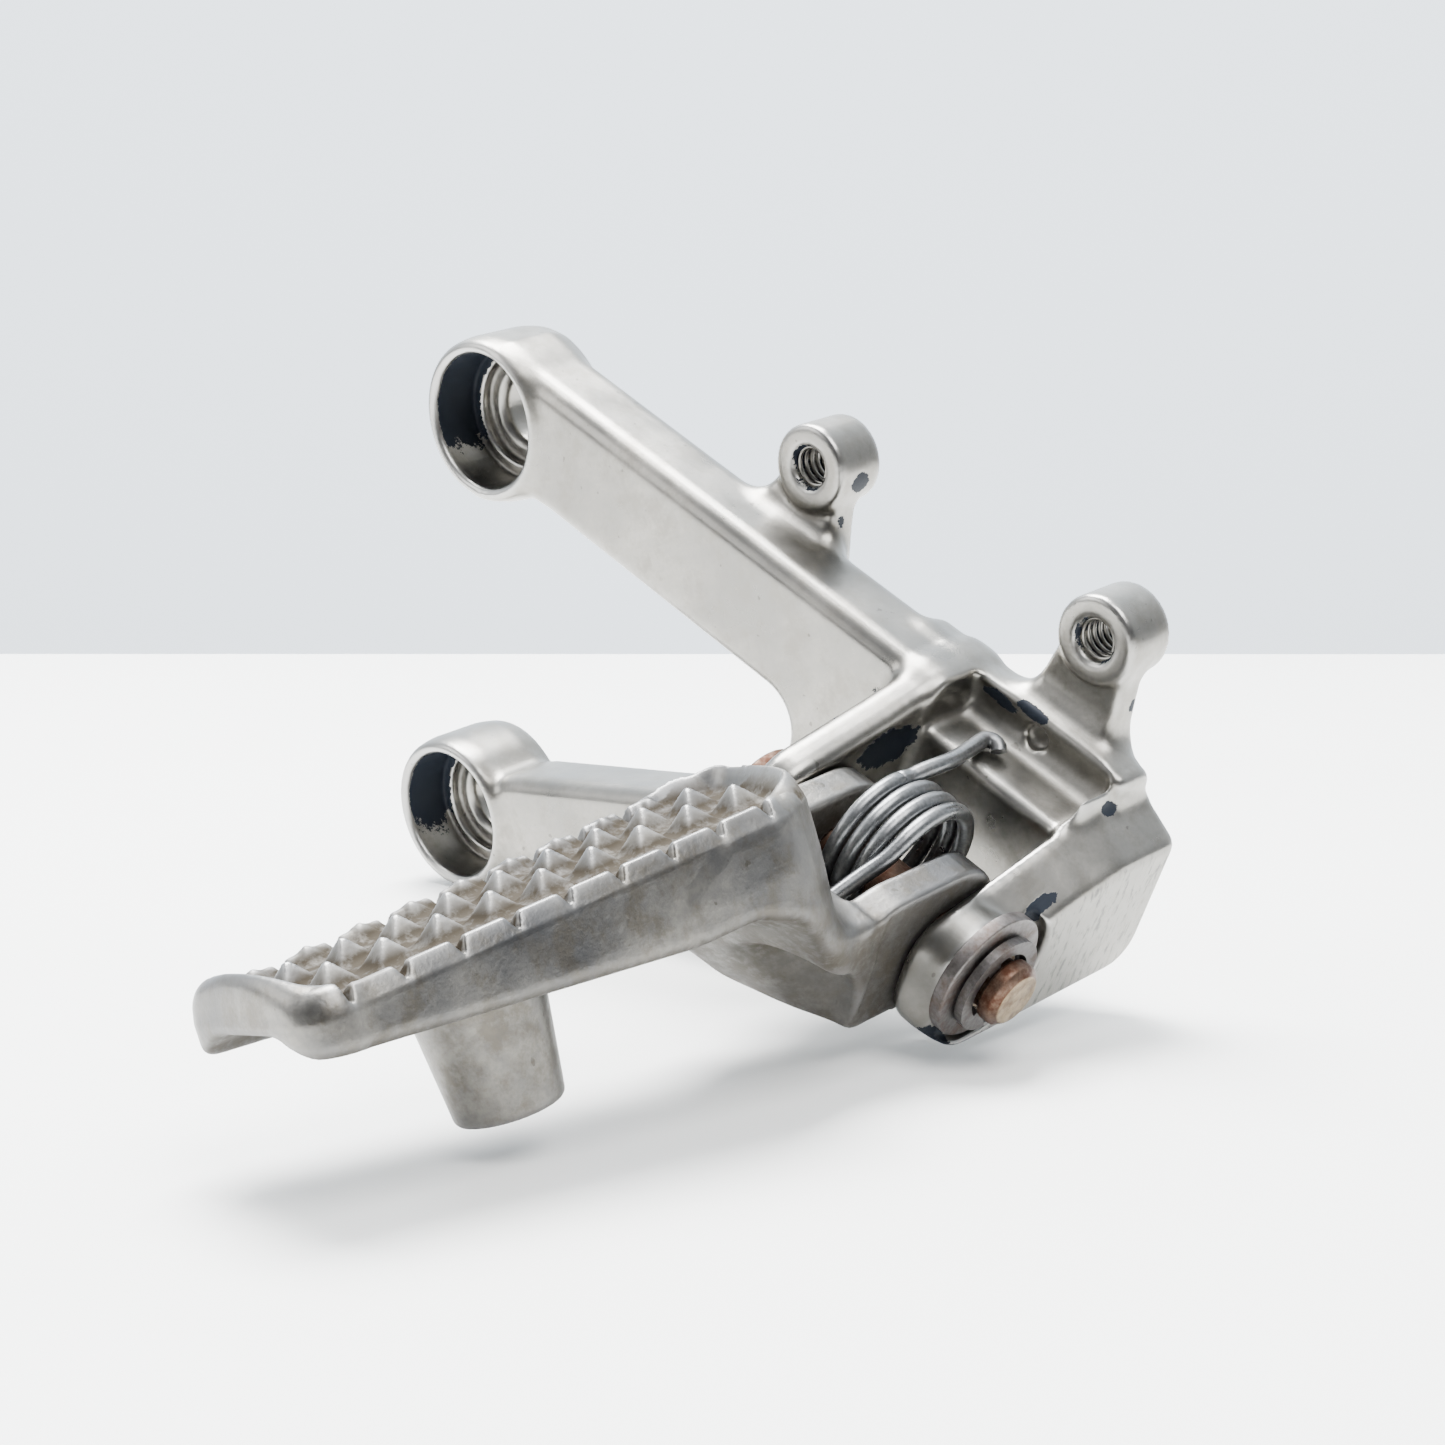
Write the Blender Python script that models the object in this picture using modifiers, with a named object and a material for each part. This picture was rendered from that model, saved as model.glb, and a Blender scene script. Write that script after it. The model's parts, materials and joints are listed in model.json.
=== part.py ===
"""Folding rider's foot peg on its cast bracket, left-hand side.

World frame as mounted: +X to the rear, +Y inward to the frame, +Z up, origin at the
centre of the upper mounting hole on the bracket's back face. The pivot frame has its
X along the pivot pin (rear and down), Y inward and Z rear-up.
"""

import math

import bmesh
import bpy
from mathutils import Matrix, Vector

MM = 0.001

# Driving dimensions, in millimetres. Pivot-frame places are written (u, y, t).
PIN_SLOPE = math.radians(40)
UPPER_BOLT = (-108.2, 34.6, 5.3)
LOWER_BOLT = (-94.6, 34.6, -64.9)
BOSS_RADIUS = 12.7
BOSS_FACE = 19.1
CUP_RADIUS = 10.8
CUP_FLOOR = 29.4
BOLT_BORE = 5.6
PLATE_FRONT = 19.9
PLATE_BACK = 33.5
TAB_RADIUS = 6.5
TAB_FRONT = 30.8
TAB_BACK = 40.0
TAB_HOLE = 3.15
TABS = ((-53.2, 27.3), (1.3, 32.3))

EAR_GAP = 26.4
NEAR_EAR_OUTER = 22.0
SPOT_FLOOR = 19.5
FAR_EAR_OUTER = -19.5
SPOT_RADIUS = 11.2
PIN_RADIUS = 4.75
PIN_BORE = 5.05
PIN_HEAD_RADIUS = 6.9
WASHER_RADIUS = 9.5
WASHER_THICK = 2.3
CLIP_RADIUS = 7.2
CLIP_THICK = 1.3
PIN_END = 26.8

WIRE_RADIUS = 1.2
COIL_RADIUS = 10.4
COIL_TURNS = 4
COIL_PITCH = 2.8
COIL_OFFSET = (2.8, 3.3)

PEG_SWEEP = math.radians(-4.4)
PEG_DROOP = math.radians(2.35)
TOOTH_PITCH = 7.86
STATIONS = 9
DECK_CENTRE = 6.1
STATION_0 = 27.1
TIP_LEVEL = 22.7
EDGE_DROP = 1.4
ROW_OFFSETS = (-13.6, -4.7, 4.7, 13.6)
ROW_TAPER = 0.1
DECK_TOP = 18.3
DECK_HALF_ROOT = 16.0
DECK_HALF_TIP = 14.4
WALL = 3.1
LIP_TOP = 24.6
PEG_END = 99.6
BOSS_STATION = 69.5
LUG_OUTER = 12.9
LUG_INNER = 7.4
LUG_RADIUS = 11.0

for old in list(bpy.data.objects):
    bpy.data.objects.remove(old)

scene = bpy.context.scene
part = bpy.data.collections.new("foot_peg_assembly")
tools = bpy.data.collections.new("cutters")
tools.hide_render = True
scene.collection.children.link(part)
scene.collection.children.link(tools)

# The pin's centre sits so that the upper bolt hole lands on the world origin.
TILT = Matrix.Rotation(PIN_SLOPE, 4, "Y")
PIVOT = Matrix.Translation(-(TILT @ (Vector(UPPER_BOLT) * MM))) @ TILT
LEVEL = Matrix.Translation(PIVOT.to_translation())
PEG = LEVEL @ Matrix.Rotation(PEG_SWEEP, 4, "Z") @ Matrix.Rotation(PEG_DROOP, 4, "X")

# Columns that stand a flat outline up: the outline's pair lies in the named plane.
PLANES = {
    "XY": Matrix.Identity(4),
    "YZ": Matrix(((0, 0, 1, 0), (1, 0, 0, 0), (0, 1, 0, 0), (0, 0, 0, 1))),
    "ZX": Matrix(((0, 1, 0, 0), (0, 0, 1, 0), (1, 0, 0, 0), (0, 0, 0, 1))),
}


def material(name, colour, roughness, metallic):
    made = bpy.data.materials.new(name)
    made.use_nodes = True
    shader = made.node_tree.nodes["Principled BSDF"]
    shader.inputs["Base Color"].default_value = (*colour, 1)
    shader.inputs["Roughness"].default_value = roughness
    shader.inputs["Metallic"].default_value = metallic
    return made


def cleaned(mesh):
    """Welds a converted mesh and turns its faces outward."""
    work = bmesh.new()
    work.from_mesh(mesh)
    bmesh.ops.remove_doubles(work, verts=work.verts, dist=1e-6)
    bmesh.ops.dissolve_degenerate(work, edges=work.edges, dist=1e-6)
    bmesh.ops.dissolve_limit(work, angle_limit=0.001, verts=work.verts, edges=work.edges)
    bmesh.ops.recalc_face_normals(work, faces=work.faces)
    work.to_mesh(mesh)
    work.free()
    return mesh


def as_mesh(source, name, collection):
    """Replaces a curve or a modified object by the plain mesh it evaluates to."""
    bpy.context.view_layer.update()
    graph = bpy.context.evaluated_depsgraph_get()
    mesh = cleaned(bpy.data.meshes.new_from_object(source.evaluated_get(graph)))
    made = bpy.data.objects.new(name, mesh)
    collection.objects.link(made)
    made.matrix_world = source.matrix_world.copy()
    bpy.data.objects.remove(source)
    return made


def rounded(corners, step=math.radians(12)):
    """Outline of (a, b, radius) corners with each corner turned on its radius."""
    outline = []
    count = len(corners)
    for i, (a, b, radius) in enumerate(corners):
        here = Vector((a, b))
        before = Vector(corners[i - 1][:2]) - here
        after = Vector(corners[(i + 1) % count][:2]) - here
        if radius == 0:
            outline.append(here)
            continue
        half = before.angle(after) / 2
        reach = radius / math.tan(half)
        centre = here + (before.normalized() + after.normalized()).normalized() * radius / math.sin(half)
        start = here + before.normalized() * reach - centre
        end = here + after.normalized() * reach - centre
        turn = start.angle_signed(end)
        parts = max(2, round(abs(turn) / step))
        for k in range(parts + 1):
            angle = -turn * k / parts
            outline.append(centre + Matrix.Rotation(angle, 2) @ start)
    return outline


def bevel(obj, width, segments=2, degrees=50):
    made = obj.modifiers.new("Bevel", "BEVEL")
    made.width = width * MM
    made.segments = segments
    made.limit_method = "ANGLE"
    made.angle_limit = math.radians(degrees)


def prism(name, corners, plane, low, high, frame=PIVOT, edge=0.0):
    """Flat outline in a plane, run from low to high along the plane's normal."""
    curve = bpy.data.curves.new(name, "CURVE")
    curve.dimensions = "2D"
    curve.fill_mode = "BOTH"
    curve.extrude = (high - low) / 2 * MM
    points = rounded(corners)
    if plane == "ZX":
        points = [Vector((b, a)) for a, b in points]
    spline = curve.splines.new("POLY")
    spline.points.add(len(points) - 1)
    for point, (a, b) in zip(spline.points, points):
        point.co = (a * MM, b * MM, 0, 1)
    spline.use_cyclic_u = True
    source = bpy.data.objects.new(name, curve)
    tools.objects.link(source)
    middle = Matrix.Translation((0, 0, (high + low) / 2 * MM))
    source.matrix_world = frame @ PLANES[plane] @ middle
    made = as_mesh(source, name, tools)
    if edge:
        bevel(made, edge)
        made = as_mesh(made, name, tools)
    return made


def turned(name, profile, frame, steps=48):
    """Profile of (radius, height) pairs, top to bottom, turned about the frame's Z."""
    mesh = bpy.data.meshes.new(name)
    points = [(radius * MM, 0, height * MM) for radius, height in profile]
    mesh.from_pydata(points, [(i, i + 1) for i in range(len(points) - 1)], [])
    source = bpy.data.objects.new(name, mesh)
    tools.objects.link(source)
    source.matrix_world = frame
    screw = source.modifiers.new("Screw", "SCREW")
    screw.steps = steps
    screw.render_steps = steps
    screw.use_merge_vertices = True
    screw.merge_threshold = 1e-6
    return as_mesh(source, name, tools)


def at(u, y, t, along, frame=PIVOT):
    """Frame at a pivot-frame place whose Z runs along that frame's X, Y or Z."""
    turn = {"X": PLANES["YZ"], "Y": PLANES["ZX"], "Z": PLANES["XY"]}[along]
    return frame @ Matrix.Translation(Vector((u, y, t)) * MM) @ turn


def rod(name, radius, low, high, place, along, frame=PIVOT, steps=48, chamfer=0.0):
    profile = [(0, high), (radius - chamfer, high)]
    if chamfer:
        profile += [(radius, high - chamfer), (radius, low + chamfer)]
    profile += [(radius if not chamfer else radius - chamfer, low), (0, low)]
    return turned(name, profile, at(*place, along, frame), steps)


def combine(target, others, operation="UNION"):
    """Joins or cuts each tool in turn and keeps the result as a plain mesh."""
    for other in others:
        change = target.modifiers.new(operation, "BOOLEAN")
        change.operation = operation
        change.solver = "EXACT"
        change.object = other
    collection = target.users_collection[0]
    name = target.name
    target.name = name + "_stock"
    made = as_mesh(target, name, collection)
    for other in others:
        bpy.data.objects.remove(other)
    return made


def finish(obj, name, look, smooth_below=35):
    """Moves a finished solid into the part, named and shaded."""
    tools.objects.unlink(obj)
    part.objects.link(obj)
    obj.name = name
    obj.data.name = name
    obj.data.materials.clear()
    obj.data.materials.append(look)
    obj.data.shade_smooth()
    work = bmesh.new()
    work.from_mesh(obj.data)
    for edge in work.edges:
        edge.smooth = len(edge.link_faces) == 2 and edge.calc_face_angle() < math.radians(smooth_below)
    work.to_mesh(obj.data)
    work.free()
    return obj


def make_bracket():
    """One casting: two arms to the frame bolts, a clevis and two guard tabs."""
    inner = EAR_GAP / 2
    bx, by = UPPER_BOLT[0], UPPER_BOLT[2]
    lx, ly = LOWER_BOLT[0], LOWER_BOLT[2]
    plate = prism(
        "bracket",
        [
            (bx, by + BOSS_RADIUS + 0.2, 0), (14, 18.2, 4), (14, -12.8, 5), (-6, -12.8, 25),
            (lx + 6.6, ly - 10.8, 0), (lx, ly, 0), (lx + 7.4, ly + 13.3, 12), (-35, -19, 8),
            (-35, -1.7, 6.5), (bx + 11.7, -1.7, 18), (bx + 3.4, by - 12.2, 0), (bx, by, 0),
        ],
        "ZX",
        PLATE_FRONT,
        PLATE_BACK,
        edge=2.4,
    )
    solids = [
        rod("boss", BOSS_RADIUS, BOSS_FACE, UPPER_BOLT[1], (u, 0, t), "Y", chamfer=0.8)
        for u, t in ((bx, by), (lx, ly))
    ]
    for u, t in TABS:
        solids.append(rod("tab", TAB_RADIUS, TAB_FRONT, TAB_BACK, (u, 0, t), "Y", chamfer=0.5))
        solids.append(
            prism(
                "tab_neck",
                [(PLATE_FRONT + 11, 8, 0), (33.5, 1.5, 0), (TAB_BACK, 19.5, 3), (TAB_BACK, t, 0), (TAB_FRONT, t, 0)],
                "YZ", u - TAB_RADIUS, u + TAB_RADIUS, edge=0.6,
            )
        )
        solids.append(
            prism(
                "tab_flare",
                [
                    (u - 9.5, 15.5, 0), (u + 9.5, 15.5, 0), (u + 9.5, 18.1, 1), (u + 6.4, 20.2, 3),
                    (u + 6.4, 25, 0), (u - 6.4, 25, 0), (u - 6.4, 20.2, 3), (u - 9.5, 18.1, 1),
                ],
                "ZX", 26, 33.2, edge=0.8,
            )
        )
    core = prism(
        "core",
        [
            (19, -12.6, 3), (19, 11.6, 1), (30, 11.6, 1.2), (28.4, 18.1, 0.8),
            (36, 18.1, 3), (37.2, 10, 3), (37.2, -12.6, 5.5),
        ],
        "YZ", FAR_EAR_OUTER - 6, 15, edge=0.8,
    )
    near_ear = prism(
        "near_ear",
        [
            (-8.9, -12.6, 9.3), (-8.9, 4.8, 7), (15.6, 11.9, 14), (25, 13.8, 10),
            (37.2, 13.8, 2), (37.2, -12.6, 5.5),
        ],
        "YZ", inner, NEAR_EAR_OUTER, edge=0.7,
    )
    facet = prism(
        "facet",
        [(inner - 0.6, 13.9, 0), (NEAR_EAR_OUTER + 1, 8.9, 0), (NEAR_EAR_OUTER + 1, 30, 0), (inner - 0.6, 30, 0)],
        "ZX", -20, 45,
    )
    near_ear = combine(near_ear, [facet], "DIFFERENCE")
    far_ear = prism(
        "far_ear",
        [(-10, -12.6, 9.3), (-10, 12.4, 6), (14, 14.9, 20), (37.2, 13, 3), (37.2, -12.6, 5.5)],
        "YZ", FAR_EAR_OUTER, -inner, edge=0.7,
    )
    gap = prism(
        "gap",
        [(-40, -40, 0), (19, -40, 0), (19, 11.6, 0), (30, 11.6, 0), (28.4, 18.3, 0), (28, 40, 0), (-40, 40, 0)],
        "YZ", -inner, inner,
    )
    plate = combine(plate, solids + [core])
    plate = combine(plate, [gap], "DIFFERENCE")
    plate = combine(plate, [near_ear, far_ear])
    cuts = [
        rod("spot", SPOT_RADIUS, SPOT_FLOOR, 40, (0, 0, 0), "X"),
        rod("pin_bore", PIN_BORE, -60, 60, (0, 0, 0), "X"),
    ]
    for u, t in ((bx, by), (lx, ly)):
        cuts.append(rod("cup", CUP_RADIUS, BOSS_FACE - 5, CUP_FLOOR, (u, 0, t), "Y"))
        cuts.append(rod("bolt_bore", BOLT_BORE, 0, 60, (u, 0, t), "Y", steps=32))
    for u, t in TABS:
        cuts.append(rod("tab_hole", TAB_HOLE, 0, 60, (u, 0, t), "Y", steps=32))
    plate = combine(plate, cuts, "DIFFERENCE")
    return finish(plate, "bracket", material("cast_aluminium", (0.62, 0.6, 0.57), 0.5, 0.8))


def make_peg():
    """Cast peg: toothed deck on a hollow body, root block, two lugs, feeler boss."""
    c = DECK_CENTRE
    deck = prism(
        "foot_peg",
        [
            (c - DECK_HALF_ROOT, -27, 4), (c - DECK_HALF_TIP, -PEG_END, 6),
            (c + DECK_HALF_TIP, -PEG_END, 6), (c + DECK_HALF_ROOT, -27, 4),
        ],
        "XY", 0.0, DECK_TOP, frame=PEG, edge=1.2,
    )
    root = prism(
        "root",
        [
            (c - DECK_HALF_ROOT + 0.4, -46, 0), (c + DECK_HALF_ROOT - 0.4, -46, 0),
            (c + DECK_HALF_ROOT - 0.6, -24, 7), (c + 7, -15.6, 12),
            (c - 9, -15.2, 9), (c - DECK_HALF_ROOT + 0.4, -24, 7),
        ],
        "XY", -16, LIP_TOP - 2.2, frame=PEG, edge=1.2,
    )
    tip_lip = prism(
        "tip_lip",
        [
            (c - 13.4, -PEG_END + 5.6, 1.2), (c - 13.4, -PEG_END, 4), (c + 13.4, -PEG_END, 4),
            (c + 13.4, -PEG_END + 5.6, 1.2),
        ],
        "XY", DECK_TOP - 2, LIP_TOP, frame=PEG, edge=1.8,
    )
    boss = turned(
        "feeler_boss",
        [(0, 16), (8.6, 16), (8.2, 7), (7.1, -3.2), (6.4, -4.0), (0, -4.0)],
        at(c, -BOSS_STATION, 0, "Z", PEG),
    )
    lugs = [
        prism(
            "lug",
            [
                (9.8, -LUG_RADIUS, 9.6), (9.8, LUG_RADIUS, 9.6), (-16, LUG_RADIUS + 0.4, 5),
                (-32, 12, 0), (-32, -4, 0), (-14, -LUG_RADIUS - 1, 8),
            ],
            "YZ", low, high, edge=0.5,
        )
        for low, high in ((LUG_INNER, LUG_OUTER), (-LUG_OUTER, -LUG_INNER))
    ]
    bridge = prism(
        "bridge",
        [(-13.6, -LUG_RADIUS, 3), (-13.6, 12.5, 3), (-24, 16, 3), (-34, 12, 0), (-34, -4, 0)],
        "YZ", -LUG_OUTER, LUG_OUTER, edge=0.5,
    )
    # The underside falls from the tip, then steeply down to the lugs.
    belly = prism(
        "belly",
        [
            (-14, -17, 0), (-24, -11.5, 8), (-33, -2.5, 6), (-40, 4.6, 5), (-47, 7.6, 4),
            (-PEG_END - 6, 15.3, 0), (-PEG_END - 6, -60, 0), (-14, -60, 0),
        ],
        "YZ", -60, 60, frame=PEG,
    )
    keel = prism("keel", [(-70, -11.3, 0), (70, -11.3, 0), (70, -70, 0), (-70, -70, 0)], "ZX", -70, -13)
    deck = combine(deck, [root, tip_lip] + lugs + [bridge])
    deck = combine(deck, [belly, keel], "DIFFERENCE")
    hollow = prism(
        "hollow",
        [
            (c - DECK_HALF_ROOT + WALL + 0.2, -47, 4), (c - DECK_HALF_TIP + WALL, -PEG_END - 9, 0),
            (c + DECK_HALF_TIP - WALL, -PEG_END - 9, 0), (c + DECK_HALF_ROOT - WALL - 0.2, -47, 4),
        ],
        "XY", -30, DECK_TOP - 3.2, frame=PEG, edge=1.5,
    )
    deck = combine(deck, [hollow], "DIFFERENCE")
    deck = combine(deck, [boss])
    root_cup = prism(
        "root_cup",
        [
            (c - DECK_HALF_ROOT - 4, -50, 0), (c + DECK_HALF_ROOT + 4, -50, 0),
            (c + DECK_HALF_ROOT + 4, -26.5, 0), (c + 11.5, -26.5, 3), (c + 5, -20, 8),
            (c - 7, -19.6, 8), (c - 12, -26.5, 3), (c - DECK_HALF_ROOT - 4, -26.5, 0),
        ],
        "XY", DECK_TOP, 60, frame=PEG,
    )
    coil_space = rod(
        "coil_space", COIL_RADIUS + WIRE_RADIUS + 1.6, -LUG_INNER, LUG_INNER, (0, *COIL_OFFSET), "X"
    )
    deck = combine(deck, [root_cup], "DIFFERENCE")
    deck = combine(deck, [coil_space], "DIFFERENCE")
    deck = combine(deck, [make_teeth()])
    ear_room = [
        prism("ear_room", [(near, -70, 0), (60, -70, 0), (60, 70, 0), (near, 70, 0)], "YZ", low, high)
        for near, low, high in ((-14, LUG_OUTER, 60), (-16, -60, -LUG_OUTER))
    ]
    bore = rod("bore", PIN_BORE, -60, 60, (0, 0, 0), "X", steps=40)
    feeler = rod("feeler_hole", 2.6, -20, 9, (c, -BOSS_STATION, 0), "Z", frame=PEG, steps=24)
    deck = combine(deck, ear_room + [bore, feeler], "DIFFERENCE")
    return finish(deck, "foot_peg", material("dirty_aluminium", (0.42, 0.4, 0.38), 0.6, 0.7))


def make_teeth():
    """Tooth field: ridges run across the deck crossed with ridges run along it."""
    foot = DECK_TOP - 1.0
    valley = DECK_TOP + 0.25
    across = [(-STATION_0 + TOOTH_PITCH / 2, foot, 0)]
    for station in range(STATIONS):
        y = -STATION_0 - station * TOOTH_PITCH
        across += [
            (y + TOOTH_PITCH / 2, valley, 0), (y + 0.35, TIP_LEVEL, 0),
            (y - 0.35, TIP_LEVEL, 0), (y - TOOTH_PITCH / 2, valley, 0),
        ]
    across.append((across[-1][0], foot, 0))
    teeth = prism("teeth", across, "YZ", -30, 40, frame=PEG)
    c = DECK_CENTRE
    half = 4.5
    low_tip = TIP_LEVEL - EDGE_DROP
    side = []
    for x in ROW_OFFSETS:
        tip, flat = (low_tip, 1.9) if abs(x) > 2 * half else (TIP_LEVEL, 0.35)
        side += [(c + x - half, valley, 0), (c + x - flat, tip, 0), (c + x + flat, tip, 0)]
    side += [(c + ROW_OFFSETS[-1] + 2.5, valley, 0), (c + ROW_OFFSETS[-1] + 2.5, foot, 0)]
    side.insert(0, (c + ROW_OFFSETS[0] - 2.5, foot, 0))
    side[1] = (c + ROW_OFFSETS[0] - 2.5, valley, 0)
    along = prism("along", side, "ZX", -PEG_END, 0, frame=PEG)
    teeth = combine(teeth, [along], "INTERSECT")
    # The rows draw together toward the tip.
    place = PEG.inverted() @ teeth.matrix_world
    back = place.inverted()
    for vertex in teeth.data.vertices:
        spot = place @ vertex.co
        spot.x = c * MM + (spot.x - c * MM) * (1.02 + spot.y / (PEG_END * MM) * ROW_TAPER)
        vertex.co = back @ spot
    return teeth


def make_pin():
    profile = [
        (0, PIN_END), (PIN_RADIUS - 1, PIN_END), (PIN_RADIUS, PIN_END - 1), (PIN_RADIUS, FAR_EAR_OUTER - 0.3),
        (PIN_HEAD_RADIUS - 0.5, FAR_EAR_OUTER - 0.3), (PIN_HEAD_RADIUS, FAR_EAR_OUTER - 0.8),
        (PIN_HEAD_RADIUS, FAR_EAR_OUTER - 2.6), (PIN_HEAD_RADIUS - 0.5, FAR_EAR_OUTER - 3.1),
        (0, FAR_EAR_OUTER - 3.1),
    ]
    pin = turned("pin", profile, at(0, 0, 0, "X"))
    low = SPOT_FLOOR + WASHER_THICK + 0.25
    groove = prism_ring("groove", PIN_RADIUS - 0.9, PIN_RADIUS + 3, low, low + CLIP_THICK + 0.6)
    pin = combine(pin, [groove], "DIFFERENCE")
    return finish(pin, "pivot_pin", material("rusty_steel", (0.45, 0.33, 0.2), 0.45, 0.9))


def prism_ring(name, inner, outer, low, high, steps=48):
    """Square-section ring about the pivot axis."""
    profile = [(inner, high), (outer, high), (outer, low), (inner, low), (inner, high)]
    return turned(name, profile, at(0, 0, 0, "X"), steps)


def make_washer():
    low = SPOT_FLOOR + 0.3
    ring = prism_ring("washer", PIN_BORE, WASHER_RADIUS, low, SPOT_FLOOR + WASHER_THICK)
    bevel(ring, 0.3, 2)
    ring = as_mesh(ring, "washer", tools)
    return finish(ring, "washer", material("worn_steel", (0.4, 0.36, 0.32), 0.5, 0.9))


def make_clip():
    """E-clip: a flat ring open on one side, with three inward prongs."""
    low = SPOT_FLOOR + WASHER_THICK + 0.55
    clip = prism_ring("e_clip", PIN_RADIUS + 0.45, CLIP_RADIUS, low, low + CLIP_THICK)
    prongs = [
        prism("prong", [(-1.3, 0, 0), (1.3, 0, 0), (1.0, 2.0, 0), (-1.0, 2.0, 0)], "XY", low, low + CLIP_THICK,
              frame=at(0, 0, 0, "X") @ Matrix.Rotation(math.radians(turn), 4, "Z")
              @ Matrix.Translation((0, -6.2 * MM, 0)))
        for turn in (CLIP_TURN, CLIP_TURN + 115, CLIP_TURN - 115)
    ]
    clip = combine(clip, prongs)
    mouth = prism(
        "mouth", [(-3.4, 0, 0), (3.4, 0, 0), (4.6, 12, 0), (-4.6, 12, 0)], "XY", low - 1, low + 4,
        frame=at(0, 0, 0, "X") @ Matrix.Rotation(math.radians(CLIP_TURN), 4, "Z"),
    )
    clip = combine(clip, [mouth], "DIFFERENCE")
    return finish(clip, "e_clip", material("dark_steel", (0.3, 0.27, 0.24), 0.5, 0.9))


CLIP_TURN = 215


def make_spring():
    """Torsion spring: four turns between the lugs, one leg to each casting."""
    cy, ct = COIL_OFFSET
    start = math.radians(62)
    sweep = math.radians(360 * COIL_TURNS - 250)
    length = COIL_TURNS * COIL_PITCH - 0.2
    count = COIL_TURNS * 20
    points = []
    for k in range(count + 1):
        share = k / count
        angle = start + sweep * share
        points.append((
            -length / 2 + length * share,
            cy + COIL_RADIUS * math.cos(angle),
            ct + COIL_RADIUS * math.sin(angle),
        ))
    # The far leg runs up onto the bracket's shelf and ends in a hook; the near leg
    # turns down the front of the coil and bears on the peg's root.
    first, last = Vector(points[0]), Vector(points[-1])
    shelf_leg = [
        Vector((-5.0, 12.0, 13.2)), Vector((-4.8, 18.5, 13.6)), Vector((-4.6, 23.0, 13.4)),
        Vector((-3.6, 24.4, 13.4)), Vector((-1.6, 24.6, 13.4)),
    ]
    shelf_leg.reverse()
    peg_leg = [last + Vector((0.4, -1.4, -2.6)), last + Vector((0.2, -2.4, -5.0))]
    path = [tuple(p) for p in shelf_leg] + points + [tuple(p) for p in peg_leg]
    curve = bpy.data.curves.new("return_spring", "CURVE")
    curve.dimensions = "3D"
    curve.fill_mode = "FULL"
    curve.bevel_depth = WIRE_RADIUS * MM
    curve.bevel_resolution = 2
    curve.use_fill_caps = True
    spline = curve.splines.new("POLY")
    spline.points.add(len(path) - 1)
    for point, place in zip(spline.points, path):
        point.co = (*(value * MM for value in place), 1)
    wire = bpy.data.objects.new("return_spring", curve)
    tools.objects.link(wire)
    wire.matrix_world = PIVOT.copy()
    wire = as_mesh(wire, "return_spring", tools)
    return finish(wire, "return_spring", material("spring_steel", (0.33, 0.32, 0.31), 0.4, 0.9), 60)


make_bracket()
make_peg()
make_pin()
make_washer()
make_clip()
make_spring()
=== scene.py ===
import json
import math

import bpy
import numpy as np
from mathutils import Matrix, Vector


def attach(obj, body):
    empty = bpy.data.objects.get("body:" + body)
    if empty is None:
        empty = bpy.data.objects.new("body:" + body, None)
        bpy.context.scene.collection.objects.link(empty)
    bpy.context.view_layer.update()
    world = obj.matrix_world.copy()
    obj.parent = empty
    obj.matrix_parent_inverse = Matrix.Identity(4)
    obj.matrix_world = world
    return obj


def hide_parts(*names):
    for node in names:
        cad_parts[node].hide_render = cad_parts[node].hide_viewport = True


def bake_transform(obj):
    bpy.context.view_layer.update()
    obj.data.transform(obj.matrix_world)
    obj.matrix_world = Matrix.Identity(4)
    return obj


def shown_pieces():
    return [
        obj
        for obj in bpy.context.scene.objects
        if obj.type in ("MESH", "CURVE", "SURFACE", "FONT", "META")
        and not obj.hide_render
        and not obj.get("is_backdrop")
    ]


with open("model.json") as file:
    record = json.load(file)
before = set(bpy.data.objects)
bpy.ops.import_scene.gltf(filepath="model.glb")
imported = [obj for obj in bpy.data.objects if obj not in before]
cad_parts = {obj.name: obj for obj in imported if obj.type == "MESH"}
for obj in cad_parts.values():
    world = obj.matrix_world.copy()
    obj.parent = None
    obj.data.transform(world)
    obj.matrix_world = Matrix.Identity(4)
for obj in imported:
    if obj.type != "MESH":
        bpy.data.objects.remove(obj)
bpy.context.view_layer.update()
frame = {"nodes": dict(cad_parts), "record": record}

# Lengths below are in millimetres, in the pivot frame (u, y, t) or the peg frame (x, y, z).
MM = 0.001
JOINT = frame["record"]["behaviour"]["joints"][0]

# The pivot frame: X along the pin (rear and down), Y inward, Z rear-up, origin mid-pin.
PIN = Vector(JOINT["pos_m"])
ALONG = -Vector(JOINT["axis"])
INWARD = Vector((0, 1, 0))
ACROSS = ALONG.cross(INWARD)
PIVOT = Matrix.Translation(PIN) @ Matrix((ALONG, INWARD, ACROSS)).transposed().to_4x4()
# The peg frame: X to the rear, Y inward along the deck, Z up from the deck.
PEG_YAW, PEG_DROOP = math.radians(-4.4), math.radians(2.35)
PEG = (
    Matrix.Translation(PIN)
    @ Matrix.Rotation(PEG_YAW, 4, "Z")
    @ Matrix.Rotation(PEG_DROOP, 4, "X")
)


def placed(name, data):
    """A new object in the scene."""
    made = bpy.data.objects.new(name, data)
    bpy.context.scene.collection.objects.link(made)
    return made


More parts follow.
